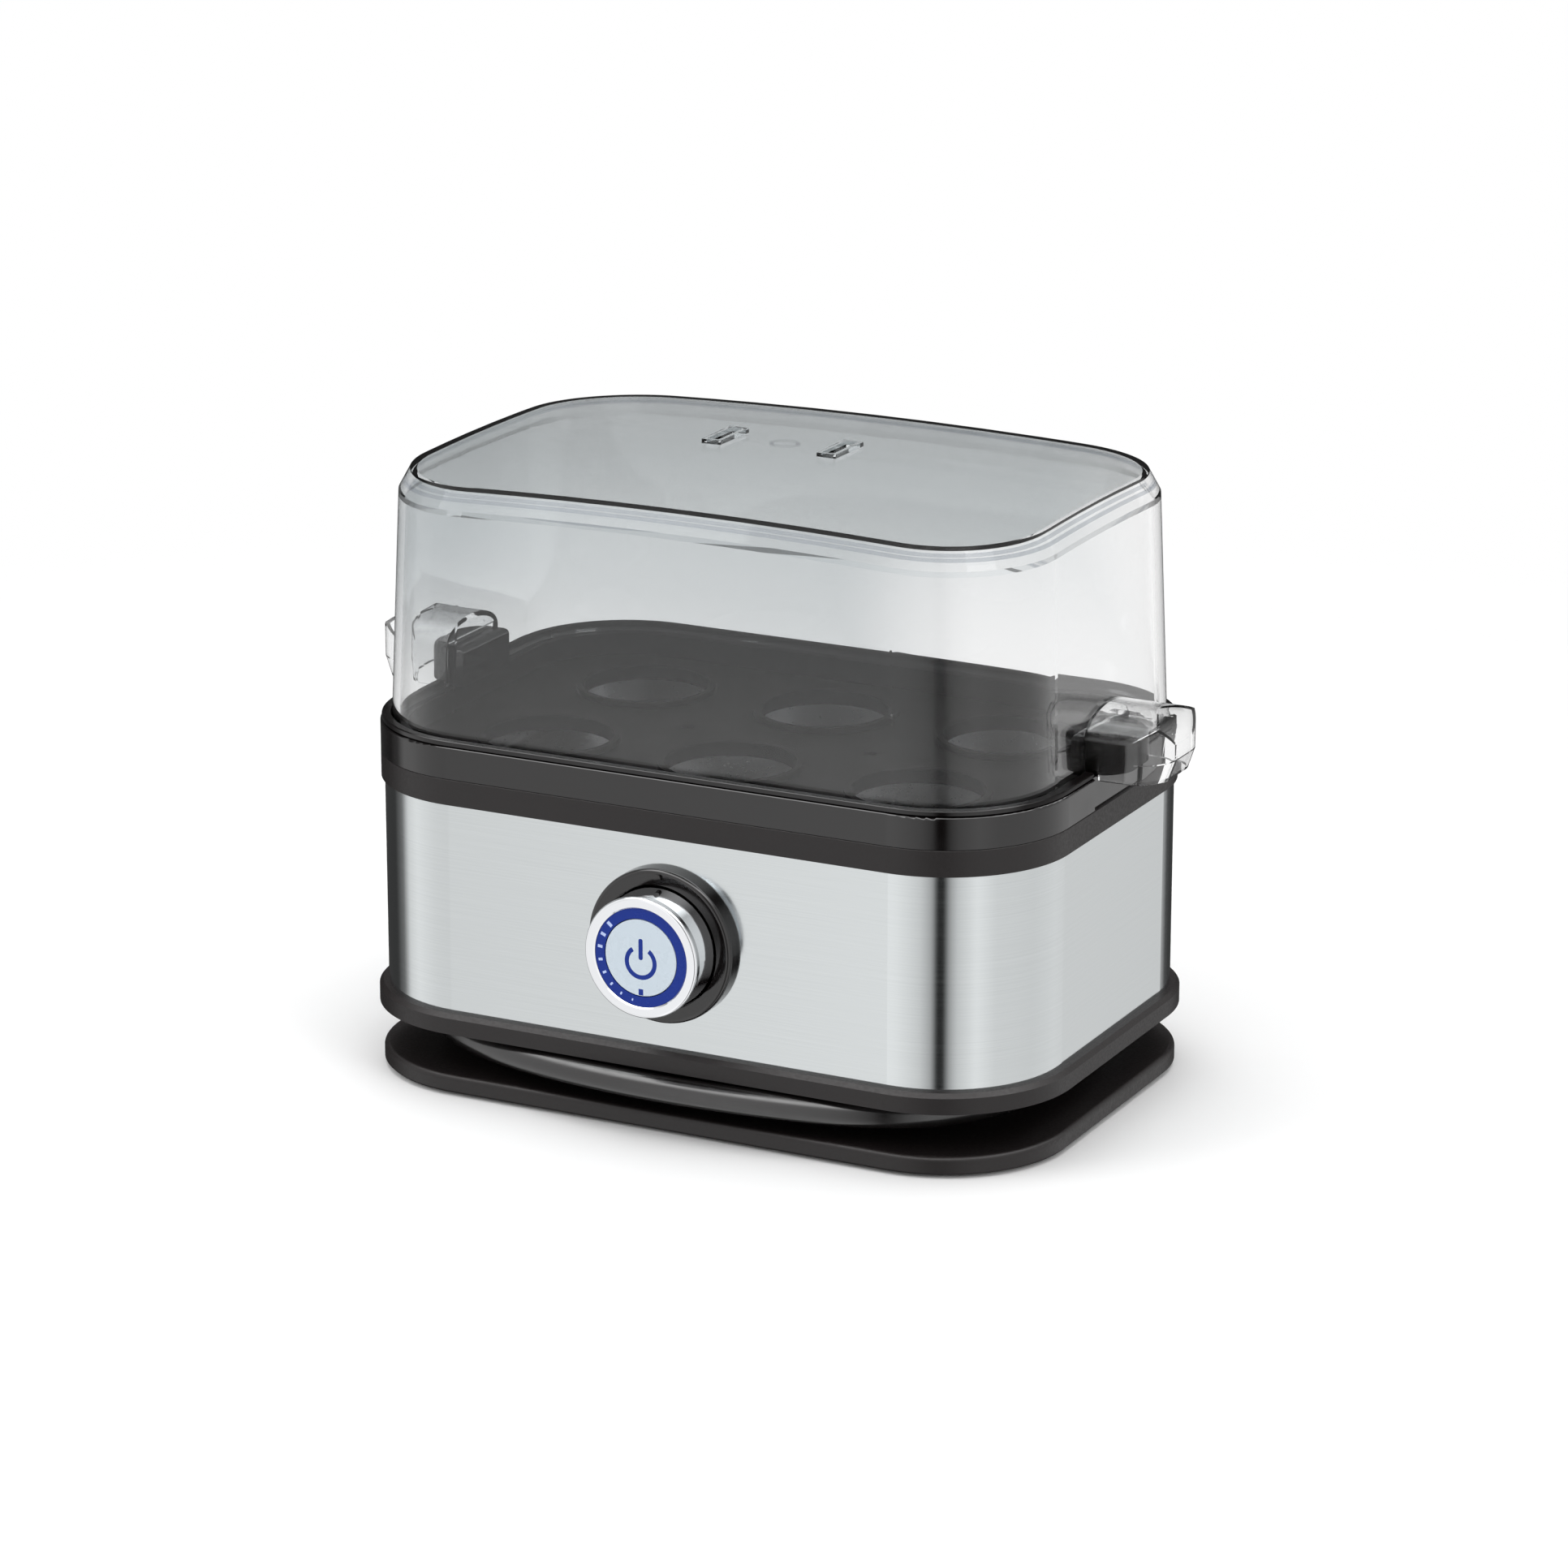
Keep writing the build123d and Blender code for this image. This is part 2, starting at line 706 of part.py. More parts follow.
with BuildPart() as scale_marks:
    extrude(mark_sketch(dial_plane(ring_front - mark_depth)), amount=mark_depth)
finish_part(scale_marks, "scale_marks")

with BuildPart() as scale_ring:
    extrude(disc(dial_plane(ring_back), ring_outer, ring_inner), amount=ring_thick)
    extrude(mark_sketch(dial_plane(ring_front - mark_depth)), amount=mark_depth, mode=Mode.SUBTRACT)
finish_part(scale_ring, "scale_ring")


def symbol_sketch(plane):
    """A bar in an open ring, and the pointer at the bottom edge."""
    with BuildSketch(plane) as symbol:
        with Locations((0, -symbol_drop)):
            Circle(symbol_arc + symbol_line / 2)
            Circle(symbol_arc - symbol_line / 2, mode=Mode.SUBTRACT)
        with BuildLine():
            opening = symbol_arc * 2 * math.tan(math.radians(symbol_gap_angle / 2))
            Polyline((0, -symbol_drop), (-opening, symbol_arc * 2 - symbol_drop),
                     (opening, symbol_arc * 2 - symbol_drop), (0, -symbol_drop))
        make_face(mode=Mode.SUBTRACT)
        with Locations((0, symbol_bar / 2 - symbol_drop + symbol_bar_rise)):
            RectangleRounded(symbol_line, symbol_bar, symbol_round)
        with Locations((0, -button_radius + pointer_length / 2 + pointer_inset)):
            Rectangle(pointer_width, pointer_length)
    return symbol.sketch


# Button: face, symbol, stem and switch plunger
button_front = ring_front
with BuildPart() as power_symbol:
    extrude(symbol_sketch(dial_plane(button_front - symbol_depth)), amount=symbol_depth)
finish_part(power_symbol, "power_symbol")

with BuildPart() as power_button:
    extrude(disc(dial_plane(button_front - button_thick), button_radius), amount=button_thick)
    fillet(power_button.faces().sort_by(Axis.Y)[0].edges(), radius=button_edge)
    extrude(symbol_sketch(dial_plane(button_front - symbol_depth)), amount=symbol_depth, mode=Mode.SUBTRACT)
    extrude(disc(dial_plane(button_front - button_thick), stem_radius + press_fit), amount=stem_seat,
            mode=Mode.SUBTRACT)
finish_part(power_button, "power_button")

stem_front = button_front - button_thick + stem_seat
with BuildPart() as button_stem:
    extrude(disc(dial_plane(-stem_back), stem_radius), amount=stem_back + stem_front)
finish_part(button_stem, "button_stem")

switch_height = board_setback + switch_front
plunger_back = -board_setback + switch_floor + button_travel + plunger_gap
with BuildPart() as switch_plunger:
    extrude(disc(dial_plane(plunger_back), plunger_radius), amount=-stem_back - plunger_back)
finish_part(switch_plunger, "switch_plunger")

with BuildPart() as power_switch:
    with BuildSketch(dial_plane(-board_setback)):
        Rectangle(switch_side, switch_side)
    extrude(amount=switch_height)
    extrude(disc(dial_plane(-board_setback + switch_floor), switch_bore), amount=switch_height,
            mode=Mode.SUBTRACT)
finish_part(power_switch, "power_switch")

with BuildPart() as rotary_encoder:
    extrude(disc(dial_plane(-board_setback), encoder_radius, sleeve_radius + shaft_fit), amount=encoder_depth)
finish_part(rotary_encoder, "rotary_encoder")

# Control board, its bracket, screws and parts
board_screw_places = [(x, z) for x in (-board_half_screw_x, board_half_screw_x)
                      for z in (-board_half_screw_z, board_half_screw_z)]
board_back = -board_setback - board_thick
with BuildPart() as control_board:
    with BuildSketch(dial_plane(board_back)):
        Rectangle(2 * board_half_x, 2 * board_half_z)
        with Locations(*board_screw_places):
            Circle(screw_radius + screw_clearance, mode=Mode.SUBTRACT)
    extrude(amount=board_thick)
finish_part(control_board, "control_board")

bracket_top = board_half_z
bracket_bottom = pan_inside - dial_z
with BuildPart() as board_bracket:
    with BuildSketch(dial_plane(board_back - upright_depth)):
        with Locations(*[(side * board_half_screw_x, (bracket_top + bracket_bottom) / 2) for side in (-1, 1)]):
            Rectangle(upright_width, bracket_top - bracket_bottom)
        with Locations((0, bracket_bottom + upright_width / 2)):
            Rectangle(2 * board_half_screw_x, upright_width)
        with Locations(*board_screw_places):
            Circle(screw_radius + press_fit, mode=Mode.SUBTRACT)
    extrude(amount=upright_depth)
finish_part(board_bracket, "board_bracket")

with BuildPart() as board_screws:
    facing_in = Plane(origin=dial_plane(-board_setback).origin, x_dir=(1, 0, 0), z_dir=(0, 1, 0))
    screw_set(facing_in, [(x, -z) for x, z in board_screw_places], board_screw_length)
finish_part(board_screws, "board_screws")

with BuildPart() as relay:
    with BuildSketch(dial_plane(board_back)):
        with Locations(relay_place):
            Rectangle(relay_size[0], relay_size[2])
    extrude(amount=-relay_size[1])
    chamfer(relay.edges().filter_by(Axis.Y), length=relay_edge)
finish_part(relay, "relay")

with BuildPart() as capacitor:
    extrude(dots(dial_plane(board_back), [capacitor_place], capacitor_radius), amount=-capacitor_length)
finish_part(capacitor, "capacitor")

with BuildPart() as buzzer:
    extrude(dots(dial_plane(board_back), [buzzer_place], buzzer_radius), amount=-buzzer_length)
finish_part(buzzer, "buzzer")

# Terminal block and the wires inside
block_left = wire_well_x + block_setback
block_x = block_left + block_size[0] / 2
block_front = gland_y - block_size[1] / 2
block_back = gland_y + block_size[1] / 2
with BuildPart() as terminal_block:
    with Locations((block_x, gland_y, pan_inside + block_size[2] / 2)):
        Box(*block_size)
    with BuildSketch(Plane.XY.offset(block_top)):
        with Locations((block_x, gland_y)):
            with GridLocations(block_size[0] / 2, block_size[1] / 3, 2, 3):
                Circle(block_screw_radius)
    extrude(amount=-block_screw_depth, mode=Mode.SUBTRACT)
finish_part(terminal_block, "terminal_block")

lead_right = cord_pocket_left - hub_wall - relief_flange_thick
lead_left = lead_right - lead_length
block_wire_z = pan_inside + block_size[2] / 2
with BuildPart() as supply_wires:
    for row in (-1, 0, 1):
        wire_y = gland_y + row * wire_pitch
        wire_path([(lead_left, wire_y, gland_height), (wire_well_x, wire_y, gland_height),
                   (wire_well_x, wire_y, block_wire_z), (block_left, wire_y, block_wire_z)], wire_bend)
finish_part(supply_wires, "supply_wires")

drop_z = (heater_bottom + block_top) / 2
with BuildPart() as heater_wires:
    wire_path([(-element_end, element_half_y, heater_bottom), (-element_end / 3, element_half_y, heater_bottom),
               (-element_end / 3, element_half_y, drop_z), (block_x, element_half_y, drop_z),
               (block_x, element_half_y, block_top)], element_wire_bend)
    lug_back = thermostat_radius + lug_length + lug_sunk
    wire_path([(element_end, element_half_y, heater_bottom), (lug_width, element_half_y, heater_bottom),
               (lug_width, element_half_y, thermostat_lug_z), (lug_width, lug_back, thermostat_lug_z)],
              lug_wire_bend)
    relay_x = front_lug_x + lug_width / 2
    relay_face_y = -steel_half_y - board_back + relay_size[1]
    relay_turn_y = (relay_face_y - lug_back) / 2
    relay_wire_z = dial_z + relay_place[1]
    wire_path([(relay_x, -lug_back, thermostat_lug_z), (relay_x, relay_turn_y, thermostat_lug_z),
               (relay_x, relay_turn_y, relay_wire_z), (relay_x, relay_face_y, relay_wire_z)], lug_wire_bend)
finish_part(heater_wires, "heater_wires")

wire_low_z = pan_inside + board_wire_low
wire_high_z = dial_z - board_half_z + board_wire_high
board_face_y = -steel_half_y - board_back
wire_turn_y = board_face_y + board_wire_room
with BuildPart() as board_wires:
    for wire_x in (block_x - board_wire_spread, block_x + board_wire_spread):
        wire_path([(wire_x, block_front, wire_low_z), (wire_x, wire_turn_y, wire_low_z),
                   (wire_x, wire_turn_y, wire_high_z), (wire_x, board_face_y, wire_high_z)], board_wire_bend)
finish_part(board_wires, "board_wires")

earth_x = block_x + earth_offset
steel_inside_y = steel_half_y - steel_wall
earth_turn_y = steel_inside_y - earth_room
earth_top_z = wire_low_z + earth_climb
with BuildPart() as earth_wire:
    wire_path([(earth_x, block_back, wire_low_z), (earth_x, earth_turn_y, wire_low_z),
               (earth_x, earth_turn_y, earth_top_z), (earth_x, steel_inside_y, earth_top_z)], wire_bend)
finish_part(earth_wire, "earth_wire")

# Strain relief in the hub's pocket, the lead inside the hub and its clip
relief_tip_x = cord_pocket_left + relief_length
with BuildPart() as cord_strain_relief:
    toward_cord = Plane(origin=(cord_pocket_left, gland_y, gland_height), x_dir=(0, 1, 0), z_dir=(1, 0, 0))
    extrude(disc(toward_cord.offset(-hub_wall), relief_neck_radius), amount=hub_wall)
    extrude(disc(toward_cord.offset(-hub_wall - relief_flange_thick), relief_flange_radius),
            amount=relief_flange_thick)
    with BuildSketch(toward_cord):
        Circle(relief_radius)
    with BuildSketch(toward_cord.offset(relief_length)):
        Circle(relief_tip_radius)
    loft()
finish_part(cord_strain_relief, "cord_strain_relief")

with BuildPart() as inner_lead:
    extrude(disc(toward_cord.offset(-hub_wall - relief_flange_thick), cord_radius), amount=-lead_length)
finish_part(inner_lead, "inner_lead")

clip_right = lead_right - clip_setback
clip_tab_z = pan_bottom - clip_wall
with BuildPart() as cord_clamp:
    clip_plane = Plane(origin=(clip_right, gland_y, gland_height), x_dir=(0, 1, 0), z_dir=(1, 0, 0))
    with BuildSketch(clip_plane):
        Circle(cord_radius + relief_gap + clip_wall)
        with Locations((-clip_tab / 2 - clip_tab_sunk, clip_tab_z - gland_height + clip_wall / 2)):
            Rectangle(clip_tab, clip_wall)
        with Locations((-cord_radius / 2, cord_radius)):
            Rectangle(cord_radius, clip_tab_z - gland_height + clip_wall)
        Circle(cord_radius + relief_gap, mode=Mode.SUBTRACT)
        with Locations((0, pan_bottom - gland_height + clip_tab)):
            Rectangle(4 * clip_tab, 2 * clip_tab, mode=Mode.SUBTRACT)
    extrude(amount=-clip_width)
    clip_screw_place = (clip_right - clip_width / 2, gland_y - clip_tab + clip_screw_inset)
    extrude(dots(Plane.XY.offset(clip_tab_z - overcut), [clip_screw_place], screw_radius + screw_clearance),
            amount=clip_wall + 2 * overcut, mode=Mode.SUBTRACT)
finish_part(cord_clamp, "cord_clamp")

with BuildPart() as clamp_screw:
    screw_set(Plane.XY.offset(clip_tab_z), [clip_screw_place], clip_wall)
finish_part(clamp_screw, "clamp_screw")

# Cord: out of the relief, one turn round the hub, a wider second turn, then out behind to the plug
plug_back = plug_left - plug_neck_length
cord_points = [
    (relief_tip_x, gland_y, gland_height),
    (46.5, gland_y, gland_height),
    (66.2, 8.4, cord_height),
    (66.4, -18.2, cord_height),
    (46.0, -38.0, cord_height),
    (0.0, -38.8, cord_height),
    (-44.5, -38.0, cord_height),
    (-66.2, -17.0, cord_height),
    (-66.6, 16.8, cord_height),
    (-45.0, 38.4, cord_height),
    (0.0, 41.0, cord_height),
    (42.0, 45.0, cord_height),
    (66.0, 36.0, cord_height),
    (78.6, 12.0, cord_height),
    (77.8, -14.0, cord_height),
    (75.0, -36.0, cord_height),
    (58.0, -55.0, cord_height),
    (20.0, -61.5, cord_height),
    (-22.0, -61.3, cord_height),
    (-56.0, -53.5, cord_height),
    (-75.0, -35.0, cord_height),
    (-80.5, -8.0, cord_height),
    (-80.3, 15.0, cord_height),
    (-78.0, 38.0, 9.5),
    (-70.0, 59.0, 9.0),
    (-55.0, 74.5, 5.4),
    (plug_back - 18.0, plug_y, plug_height),
    (plug_back, plug_y, plug_height),
]


def corner_radii(points):
    """As large an arc at each corner as its two runs allow."""
    places = [Vector(*point) for point in points]
    radii = []
    for before, here, after in zip(places, places[1:], places[2:]):
        arriving = here - before
        leaving = after - here
        half_turn = math.radians(arriving.get_angle(leaving)) / 2
        radii.append(0.45 * min(arriving.length, leaving.length) / math.tan(half_turn))
    return radii


def least_gap(path, spacing, apart, diameter):
    """The least gap between stretches of a cord that are further apart along it."""
    count = int(path.length / spacing)
    places = [path @ (index / count) for index in range(count + 1)]
    skip = int(apart / spacing)
    nearest = min((places[first] - places[second]).length
                  for first in range(len(places)) for second in range(first + skip, len(places)))
    return nearest - diameter


with BuildPart() as power_cord:
    cord_radii = corner_radii(cord_points)
    with BuildLine() as cord_route:
        FilletPolyline(*cord_points, radius=cord_radii)
    with BuildSketch(Plane(origin=cord_route.line @ 0, z_dir=cord_route.line % 0)):
        Circle(cord_radius)
    sweep(path=cord_route.wire())
finish_part(power_cord, "power_cord")
cord_wire = cord_route.wire()
print("cord radii", [round(radius, 1) for radius in cord_radii])
print("cord length", round(cord_wire.length, 1))
print("cord volume over section times length",
      round(power_cord.part.volume / (math.pi * cord_radius**2 * cord_wire.length), 4))
print("least gap between turns", round(least_gap(cord_wire, turn_sample, turn_spacing, 2 * cord_radius), 2))

# Plug: a flat two-pin body with a tapered neck
along_plug = Plane(origin=(plug_left, plug_y, plug_height), x_dir=(0, 1, 0), z_dir=(1, 0, 0))
with BuildPart() as plug_body:
    with BuildSketch(Plane.XY.offset(plug_height - plug_thick / 2)):
        with Locations((plug_left, plug_y)):
            Polygon((0, -plug_back_width / 2), (plug_shoulder, -plug_width / 2), (plug_length, -plug_width / 2),
                    (plug_length, plug_width / 2), (plug_shoulder, plug_width / 2), (0, plug_back_width / 2),
                    align=None)
    extrude(amount=plug_thick)
    fillet(plug_body.edges().filter_by(Axis.Z), radius=plug_edge)
    fillet(plug_body.faces().filter_by(Plane.XY).edges(), radius=plug_round)
    with BuildSketch(along_plug.offset(-plug_neck_length)):
        Circle(relief_tip_radius)
    with BuildSketch(along_plug):
        Circle(plug_neck_radius)
    loft()
finish_part(plug_body, "plug_body")

with BuildPart() as plug_pins:
    extrude(dots(along_plug.offset(plug_length), [(-pin_spacing / 2, 0), (pin_spacing / 2, 0)], pin_radius),
            amount=pin_length)
    fillet(plug_pins.faces().group_by(Axis.X)[-1].edges(), radius=pin_round)
finish_part(plug_pins, "plug_pins")

# Tray handle: a hollow grip that crosses the rim, made once and mirrored
over_ledge = steel_half_x - web_inset
hollow_start = steel_half_x + upper_out + handle_gap
with BuildPart() as handle:
    with BuildSketch(Plane.XY.offset(ridge_bottom)) as handle_outline:
        with Locations(((handle_inner + handle_outer) / 2, 0)):
            Rectangle(handle_outer - handle_inner, 2 * handle_half)
        fillet(handle_outline.vertices().group_by(Axis.X)[-1], radius=handle_corner)
    extrude(amount=handle_top - ridge_bottom)
    fillet(handle.faces().sort_by(Axis.Z)[-1].edges(), radius=handle_edge)
    with Locations(((hollow_start + handle_outer - handle_wall) / 2, 0,
                    (ridge_bottom + handle_top - handle_wall) / 2)):
        Box(handle_outer - handle_wall - hollow_start, 2 * (handle_half - handle_corner),
            handle_top - handle_wall - ridge_bottom, mode=Mode.SUBTRACT)
    with Locations(((handle_inner + over_ledge) / 2, 0, (tray_ledge_top + ridge_bottom) / 2)):
        Box(over_ledge - handle_inner, 2 * handle_half, ridge_bottom - tray_ledge_top)

# Egg tray: floor with six seats, a wall, a ledge for the lid, a ridge on the rim and two handles
seat_places = [(column * seat_pitch_x, row * seat_pitch_y / 2) for row in (-1, 1) for column in (-1, 0, 1)]
drain_places = [(column * seat_pitch_x / 2, 0) for column in (-1, 1)]
with BuildPart() as egg_tray:
    extrude(plan(tray_bottom, tray_inset), amount=tray_floor)
    extrude(ring_plan(tray_bottom, tray_inset, tray_inner_inset), amount=tray_ledge_top - tray_bottom)
    extrude(ring_plan(tray_ledge_bottom, web_inset, tray_inner_inset), amount=tray_ledge)
    extrude(ring_plan(tray_ledge_bottom, web_inset, web_inner_inset), amount=ridge_top - tray_ledge_bottom)
    extrude(ring_plan(ridge_bottom, ridge_inset, web_inner_inset), amount=ridge_height)
    fillet(egg_tray.faces().sort_by(Axis.Z)[-1].outer_wire().edges(), radius=ridge_edge)
    with Locations(*[(side * (steel_half_x - tray_notch_in + pocket_reach / 2), 0,
                      tray_ledge_top + pocket_reach / 2) for side in (-1, 1)]):
        Box(pocket_reach, 2 * notch_half, pocket_reach, mode=Mode.SUBTRACT)
    extrude(dots(Plane.XY.offset(tray_inside), seat_places, seat_radius + seat_rim_width),
            amount=seat_rim_height)
    extrude(dots(Plane.XY.offset(tray_bottom - overcut), seat_places, seat_radius),
            amount=tray_floor + seat_rim_height + 2 * overcut, mode=Mode.SUBTRACT)
    extrude(dots(Plane.XY.offset(tray_bottom - overcut), drain_places, drain_radius),
            amount=tray_floor + 2 * overcut, mode=Mode.SUBTRACT)
    add(handle.part)
    add(mirror(handle.part, about=Plane.YZ, mode=Mode.PRIVATE))
finish_part(egg_tray, "egg_tray")


def crown_tool(top):
    """Everything below the lid's crowned surface, whose middle is at this height."""
    reach = 1.4 * crown_span_x
    radius_y = crown_span_y**2 / (2 * crown_sag_y)
    sag = crown_sag_x * (reach / crown_span_x)**2
    with BuildSketch(Plane.XZ) as side_view:
        with BuildLine():
            ThreePointArc((-reach, top - sag), (0, top), (reach, top - sag))
            Polyline((reach, top - sag), (reach, lid_foot - crown_tool_drop),
                     (-reach, lid_foot - crown_tool_drop), (-reach, top - sag))
        make_face()
    turn = 12.0
    axis = Axis((0, 0, top - radius_y), (1, 0, 0))
    return revolve(side_view.sketch.rotate(axis, -turn / 2), axis=axis, revolution_arc=turn, mode=Mode.PRIVATE)


def lid_form(inset, top):
    """The lid's drawn-in box under its crown, with the stepped edge round its top."""
    lower = plan(lid_foot, lid_inset + inset)
    upper = plan(lid_top, lid_shoulder_inset + inset, lid_shoulder_corner - inset)
    form = loft([lower, upper], mode=Mode.PRIVATE) & crown_tool(top)
    crown = form.faces().sort_by(Axis.Z)[-1]
    return chamfer(crown.edges(), length=step_down, length2=step_in, reference=crown)


def hood_form(inset, start):
    """The hood over a handle: widest at its middle height, arched across and rounded down at its tip."""
    with BuildSketch(Plane.XY.offset(hood_lip)) as lip:
        with Locations(((start + hood_lip_tip - inset) / 2, 0)):
            Rectangle(hood_lip_tip - inset - start, 2 * (hood_lip_half - inset))
        fillet(lip.vertices().group_by(Axis.X)[-1], radius=hood_lip_corner - inset)
    with BuildSketch(Plane.XY.offset(hood_wide)) as middle:
        with Locations(((start + hood_tip - inset) / 2, 0)):
            Rectangle(hood_tip - inset - start, 2 * (hood_half - inset))
        fillet(middle.vertices().group_by(Axis.X)[-1], radius=hood_corner - inset)
    lower = loft([lip.sketch, middle.sketch], mode=Mode.PRIVATE)
    upper = extrude(middle.sketch, amount=hood_arch_top - hood_wide, mode=Mode.PRIVATE)
    half = hood_half - inset
    with BuildSketch(Plane.YZ.offset(start)) as across:
        with BuildLine():
            EllipticalCenterArc((0, hood_side_top), half, hood_arch_top - inset - hood_side_top, arc_size=180)
            Polyline((-half, hood_side_top), (-half, hood_lip), (half, hood_lip), (half, hood_side_top))
        make_face()
    arched = extrude(across.sketch, amount=hood_tip - start, mode=Mode.PRIVATE)
    dome = hood_dome - inset
    dome_x = hood_tip - hood_dome
    dome_z = hood_arch_top - hood_dome
    with BuildSketch(Plane.XZ.offset(-half)) as along:
        with BuildLine():
            CenterArc((dome_x, dome_z), dome, 0, 90)
            Polyline((dome_x, dome_z + dome), (start, dome_z + dome), (start, hood_lip),
                     (dome_x + dome, hood_lip), (dome_x + dome, dome_z))
        make_face()
    domed = extrude(along.sketch, amount=2 * half, mode=Mode.PRIVATE)
    return (lower + upper) & arched & domed


# Lid: clear box with a hood at each end and two steam vents
lid_outer = lid_form(0, lid_top)
lid_hollow = lid_form(lid_wall, lid_top - lid_wall)
over_rim = steel_half_x + upper_out + slip_fit
hood = hood_form(0, handle_inner)
hood -= Pos((handle_inner + over_rim) / 2, 0, (hood_lip + ridge_bottom) / 2) * Box(
    over_rim - handle_inner, 4 * hood_half, ridge_bottom - hood_lip)
hood_hollow = hood_form(hood_wall, steel_half_x - lid_inset - hood_lap)
with BuildPart() as lid:
    add(lid_outer)
    add(hood)
    add(mirror(hood, about=Plane.YZ, mode=Mode.PRIVATE))
    add(lid_hollow, mode=Mode.SUBTRACT)
    add(hood_hollow, mode=Mode.SUBTRACT)
    add(mirror(hood_hollow, about=Plane.YZ, mode=Mode.PRIVATE), mode=Mode.SUBTRACT)
    with Locations((0, 0, (lid_foot + arch_top) / 2)):
        Box(2 * (steel_half_x + overcut), 2 * arch_half, arch_top - lid_foot, mode=Mode.SUBTRACT)
    with Locations(*[(x, y, lid_top) for x, y in vent_places]):
        Box(vent_width + 2 * vent_curb, vent_length + 2 * vent_curb, 2 * vent_curb_height)
        Box(vent_width, vent_length, 6 * lid_wall, mode=Mode.SUBTRACT)
finish_part(lid, "lid")
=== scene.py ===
# %% [markdown]
# # An electric egg cooker
#
# The cooker is a rounded box with a brushed steel band. A dial with a button in its middle sits on the
# front, a black tray and a clear lid sit on top, and the cord is wound in a groove above the foot plate.
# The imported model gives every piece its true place, in metres. This lesson dresses those pieces, one
# finish at a time, and lights them as a studio would.

# %% Load the fixed frame
import math

import bpy
from mathutils import Matrix, Vector


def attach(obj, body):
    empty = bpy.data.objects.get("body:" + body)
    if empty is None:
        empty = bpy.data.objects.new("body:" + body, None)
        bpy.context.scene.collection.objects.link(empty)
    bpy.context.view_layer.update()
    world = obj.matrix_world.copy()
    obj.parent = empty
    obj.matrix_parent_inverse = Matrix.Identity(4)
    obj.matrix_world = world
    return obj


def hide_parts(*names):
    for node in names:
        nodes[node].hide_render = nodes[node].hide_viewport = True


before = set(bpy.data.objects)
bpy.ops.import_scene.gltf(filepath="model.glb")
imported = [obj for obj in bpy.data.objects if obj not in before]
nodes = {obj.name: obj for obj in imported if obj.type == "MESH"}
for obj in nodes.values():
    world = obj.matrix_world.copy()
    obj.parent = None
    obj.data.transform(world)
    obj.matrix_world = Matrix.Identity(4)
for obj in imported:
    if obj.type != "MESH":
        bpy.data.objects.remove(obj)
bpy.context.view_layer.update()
MM = 0.001
print("pieces in the frame:", len(nodes))

# %% [markdown]
# ## The camera
#
# A product picture is taken from a little above, with a long lens, so that upright edges stay nearly
# parallel. A camera could be aimed by hand, but here its angles and distance are written as numbers and
# turned into three directions: to the right, up the picture, and back towards the lens.

# %% Place the camera at the picture's angle
# The angles, the distance and the lens were fitted to the edges in the picture.
view_turn = math.radians(26.94)
view_rise = math.radians(17.01)
view_distance = 1.3937
picture_pixels = 1932
focal_pixels = 7123
sensor_mm = 36.0
dial_axis_y = 4.85 * MM

camera_back = Vector((math.sin(view_turn) * math.cos(view_rise),
                      -math.cos(view_turn) * math.cos(view_rise),
                      math.sin(view_rise)))
camera_right = Vector((math.cos(view_turn), math.sin(view_turn), 0))
camera_up = camera_back.cross(camera_right)
look_offset_right = 1.08 * MM
look_offset_up = 65.8 * MM
eye = (camera_back * view_distance + camera_right * look_offset_right
       + camera_up * look_offset_up + Vector((0, dial_axis_y, 0)))

camera_data = bpy.data.cameras.new("camera")
camera_data.sensor_width = sensor_mm
camera_data.lens = sensor_mm * focal_pixels / picture_pixels
camera_data.clip_start = 0.05
camera = bpy.data.objects.new("camera", camera_data)
bpy.context.scene.collection.objects.link(camera)
turn = Matrix((camera_right, camera_up, camera_back)).transposed().to_4x4()
camera.matrix_world = Matrix.Translation(eye) @ turn
bpy.context.scene.camera = camera
print("lens in mm:", round(camera_data.lens, 1))

# %% [markdown]
# ## The cord
#
# A mains lead is stiff, so it takes wide curves and never kinks. It is a smooth curve whose control points
# stand where the cord should pull. Order 3 keeps the line close to its points, and the ends touch the
# first and the last one. The round section comes from the curve's own bevel. The bevel is one metre and the
# points carry the real radius, because the box that Blender keeps for a curve counts the points' radius.

# %% Route the cord
cord_radius = 3.25 * MM
cord_points_mm = [
    (14.0, 26.5, 10.4), (46.5, 26.5, 10.4), (66.2, 8.4, 9.6), (66.4, -18.2, 9.6), (46.0, -38.0, 9.6),
    (0.0, -38.8, 9.6), (-44.5, -38.0, 9.6), (-66.2, -17.0, 9.6), (-66.6, 16.8, 9.6), (-45.0, 38.4, 9.6),
    (0.0, 41.0, 9.6), (42.0, 45.0, 9.6), (66.0, 36.0, 9.8), (78.6, 12.0, 10.6), (77.8, -14.0, 11.6),
    (75.0, -36.0, 12.1), (58.0, -55.0, 12.1), (20.0, -61.5, 11.9), (-22.0, -61.3, 11.9), (-56.0, -53.5, 12.1),
    (-75.0, -35.0, 12.0), (-80.5, -8.0, 11.4), (-80.3, 15.0, 10.6), (-78.0, 38.0, 9.8), (-70.0, 59.0, 9.0),
    (-55.0, 74.5, 5.4), (-38.0, 81.0, 6.85), (-20.0, 81.0, 6.85),
]
cord_curve = bpy.data.curves.new("mains_cord", "CURVE")
cord_curve.dimensions = "3D"
cord_curve.bevel_depth = 1.0  # times each point's radius
cord_curve.bevel_resolution = 6
cord_curve.resolution_u = 12
cord_line = cord_curve.splines.new("NURBS")
cord_line.points.add(len(cord_points_mm) - 1)
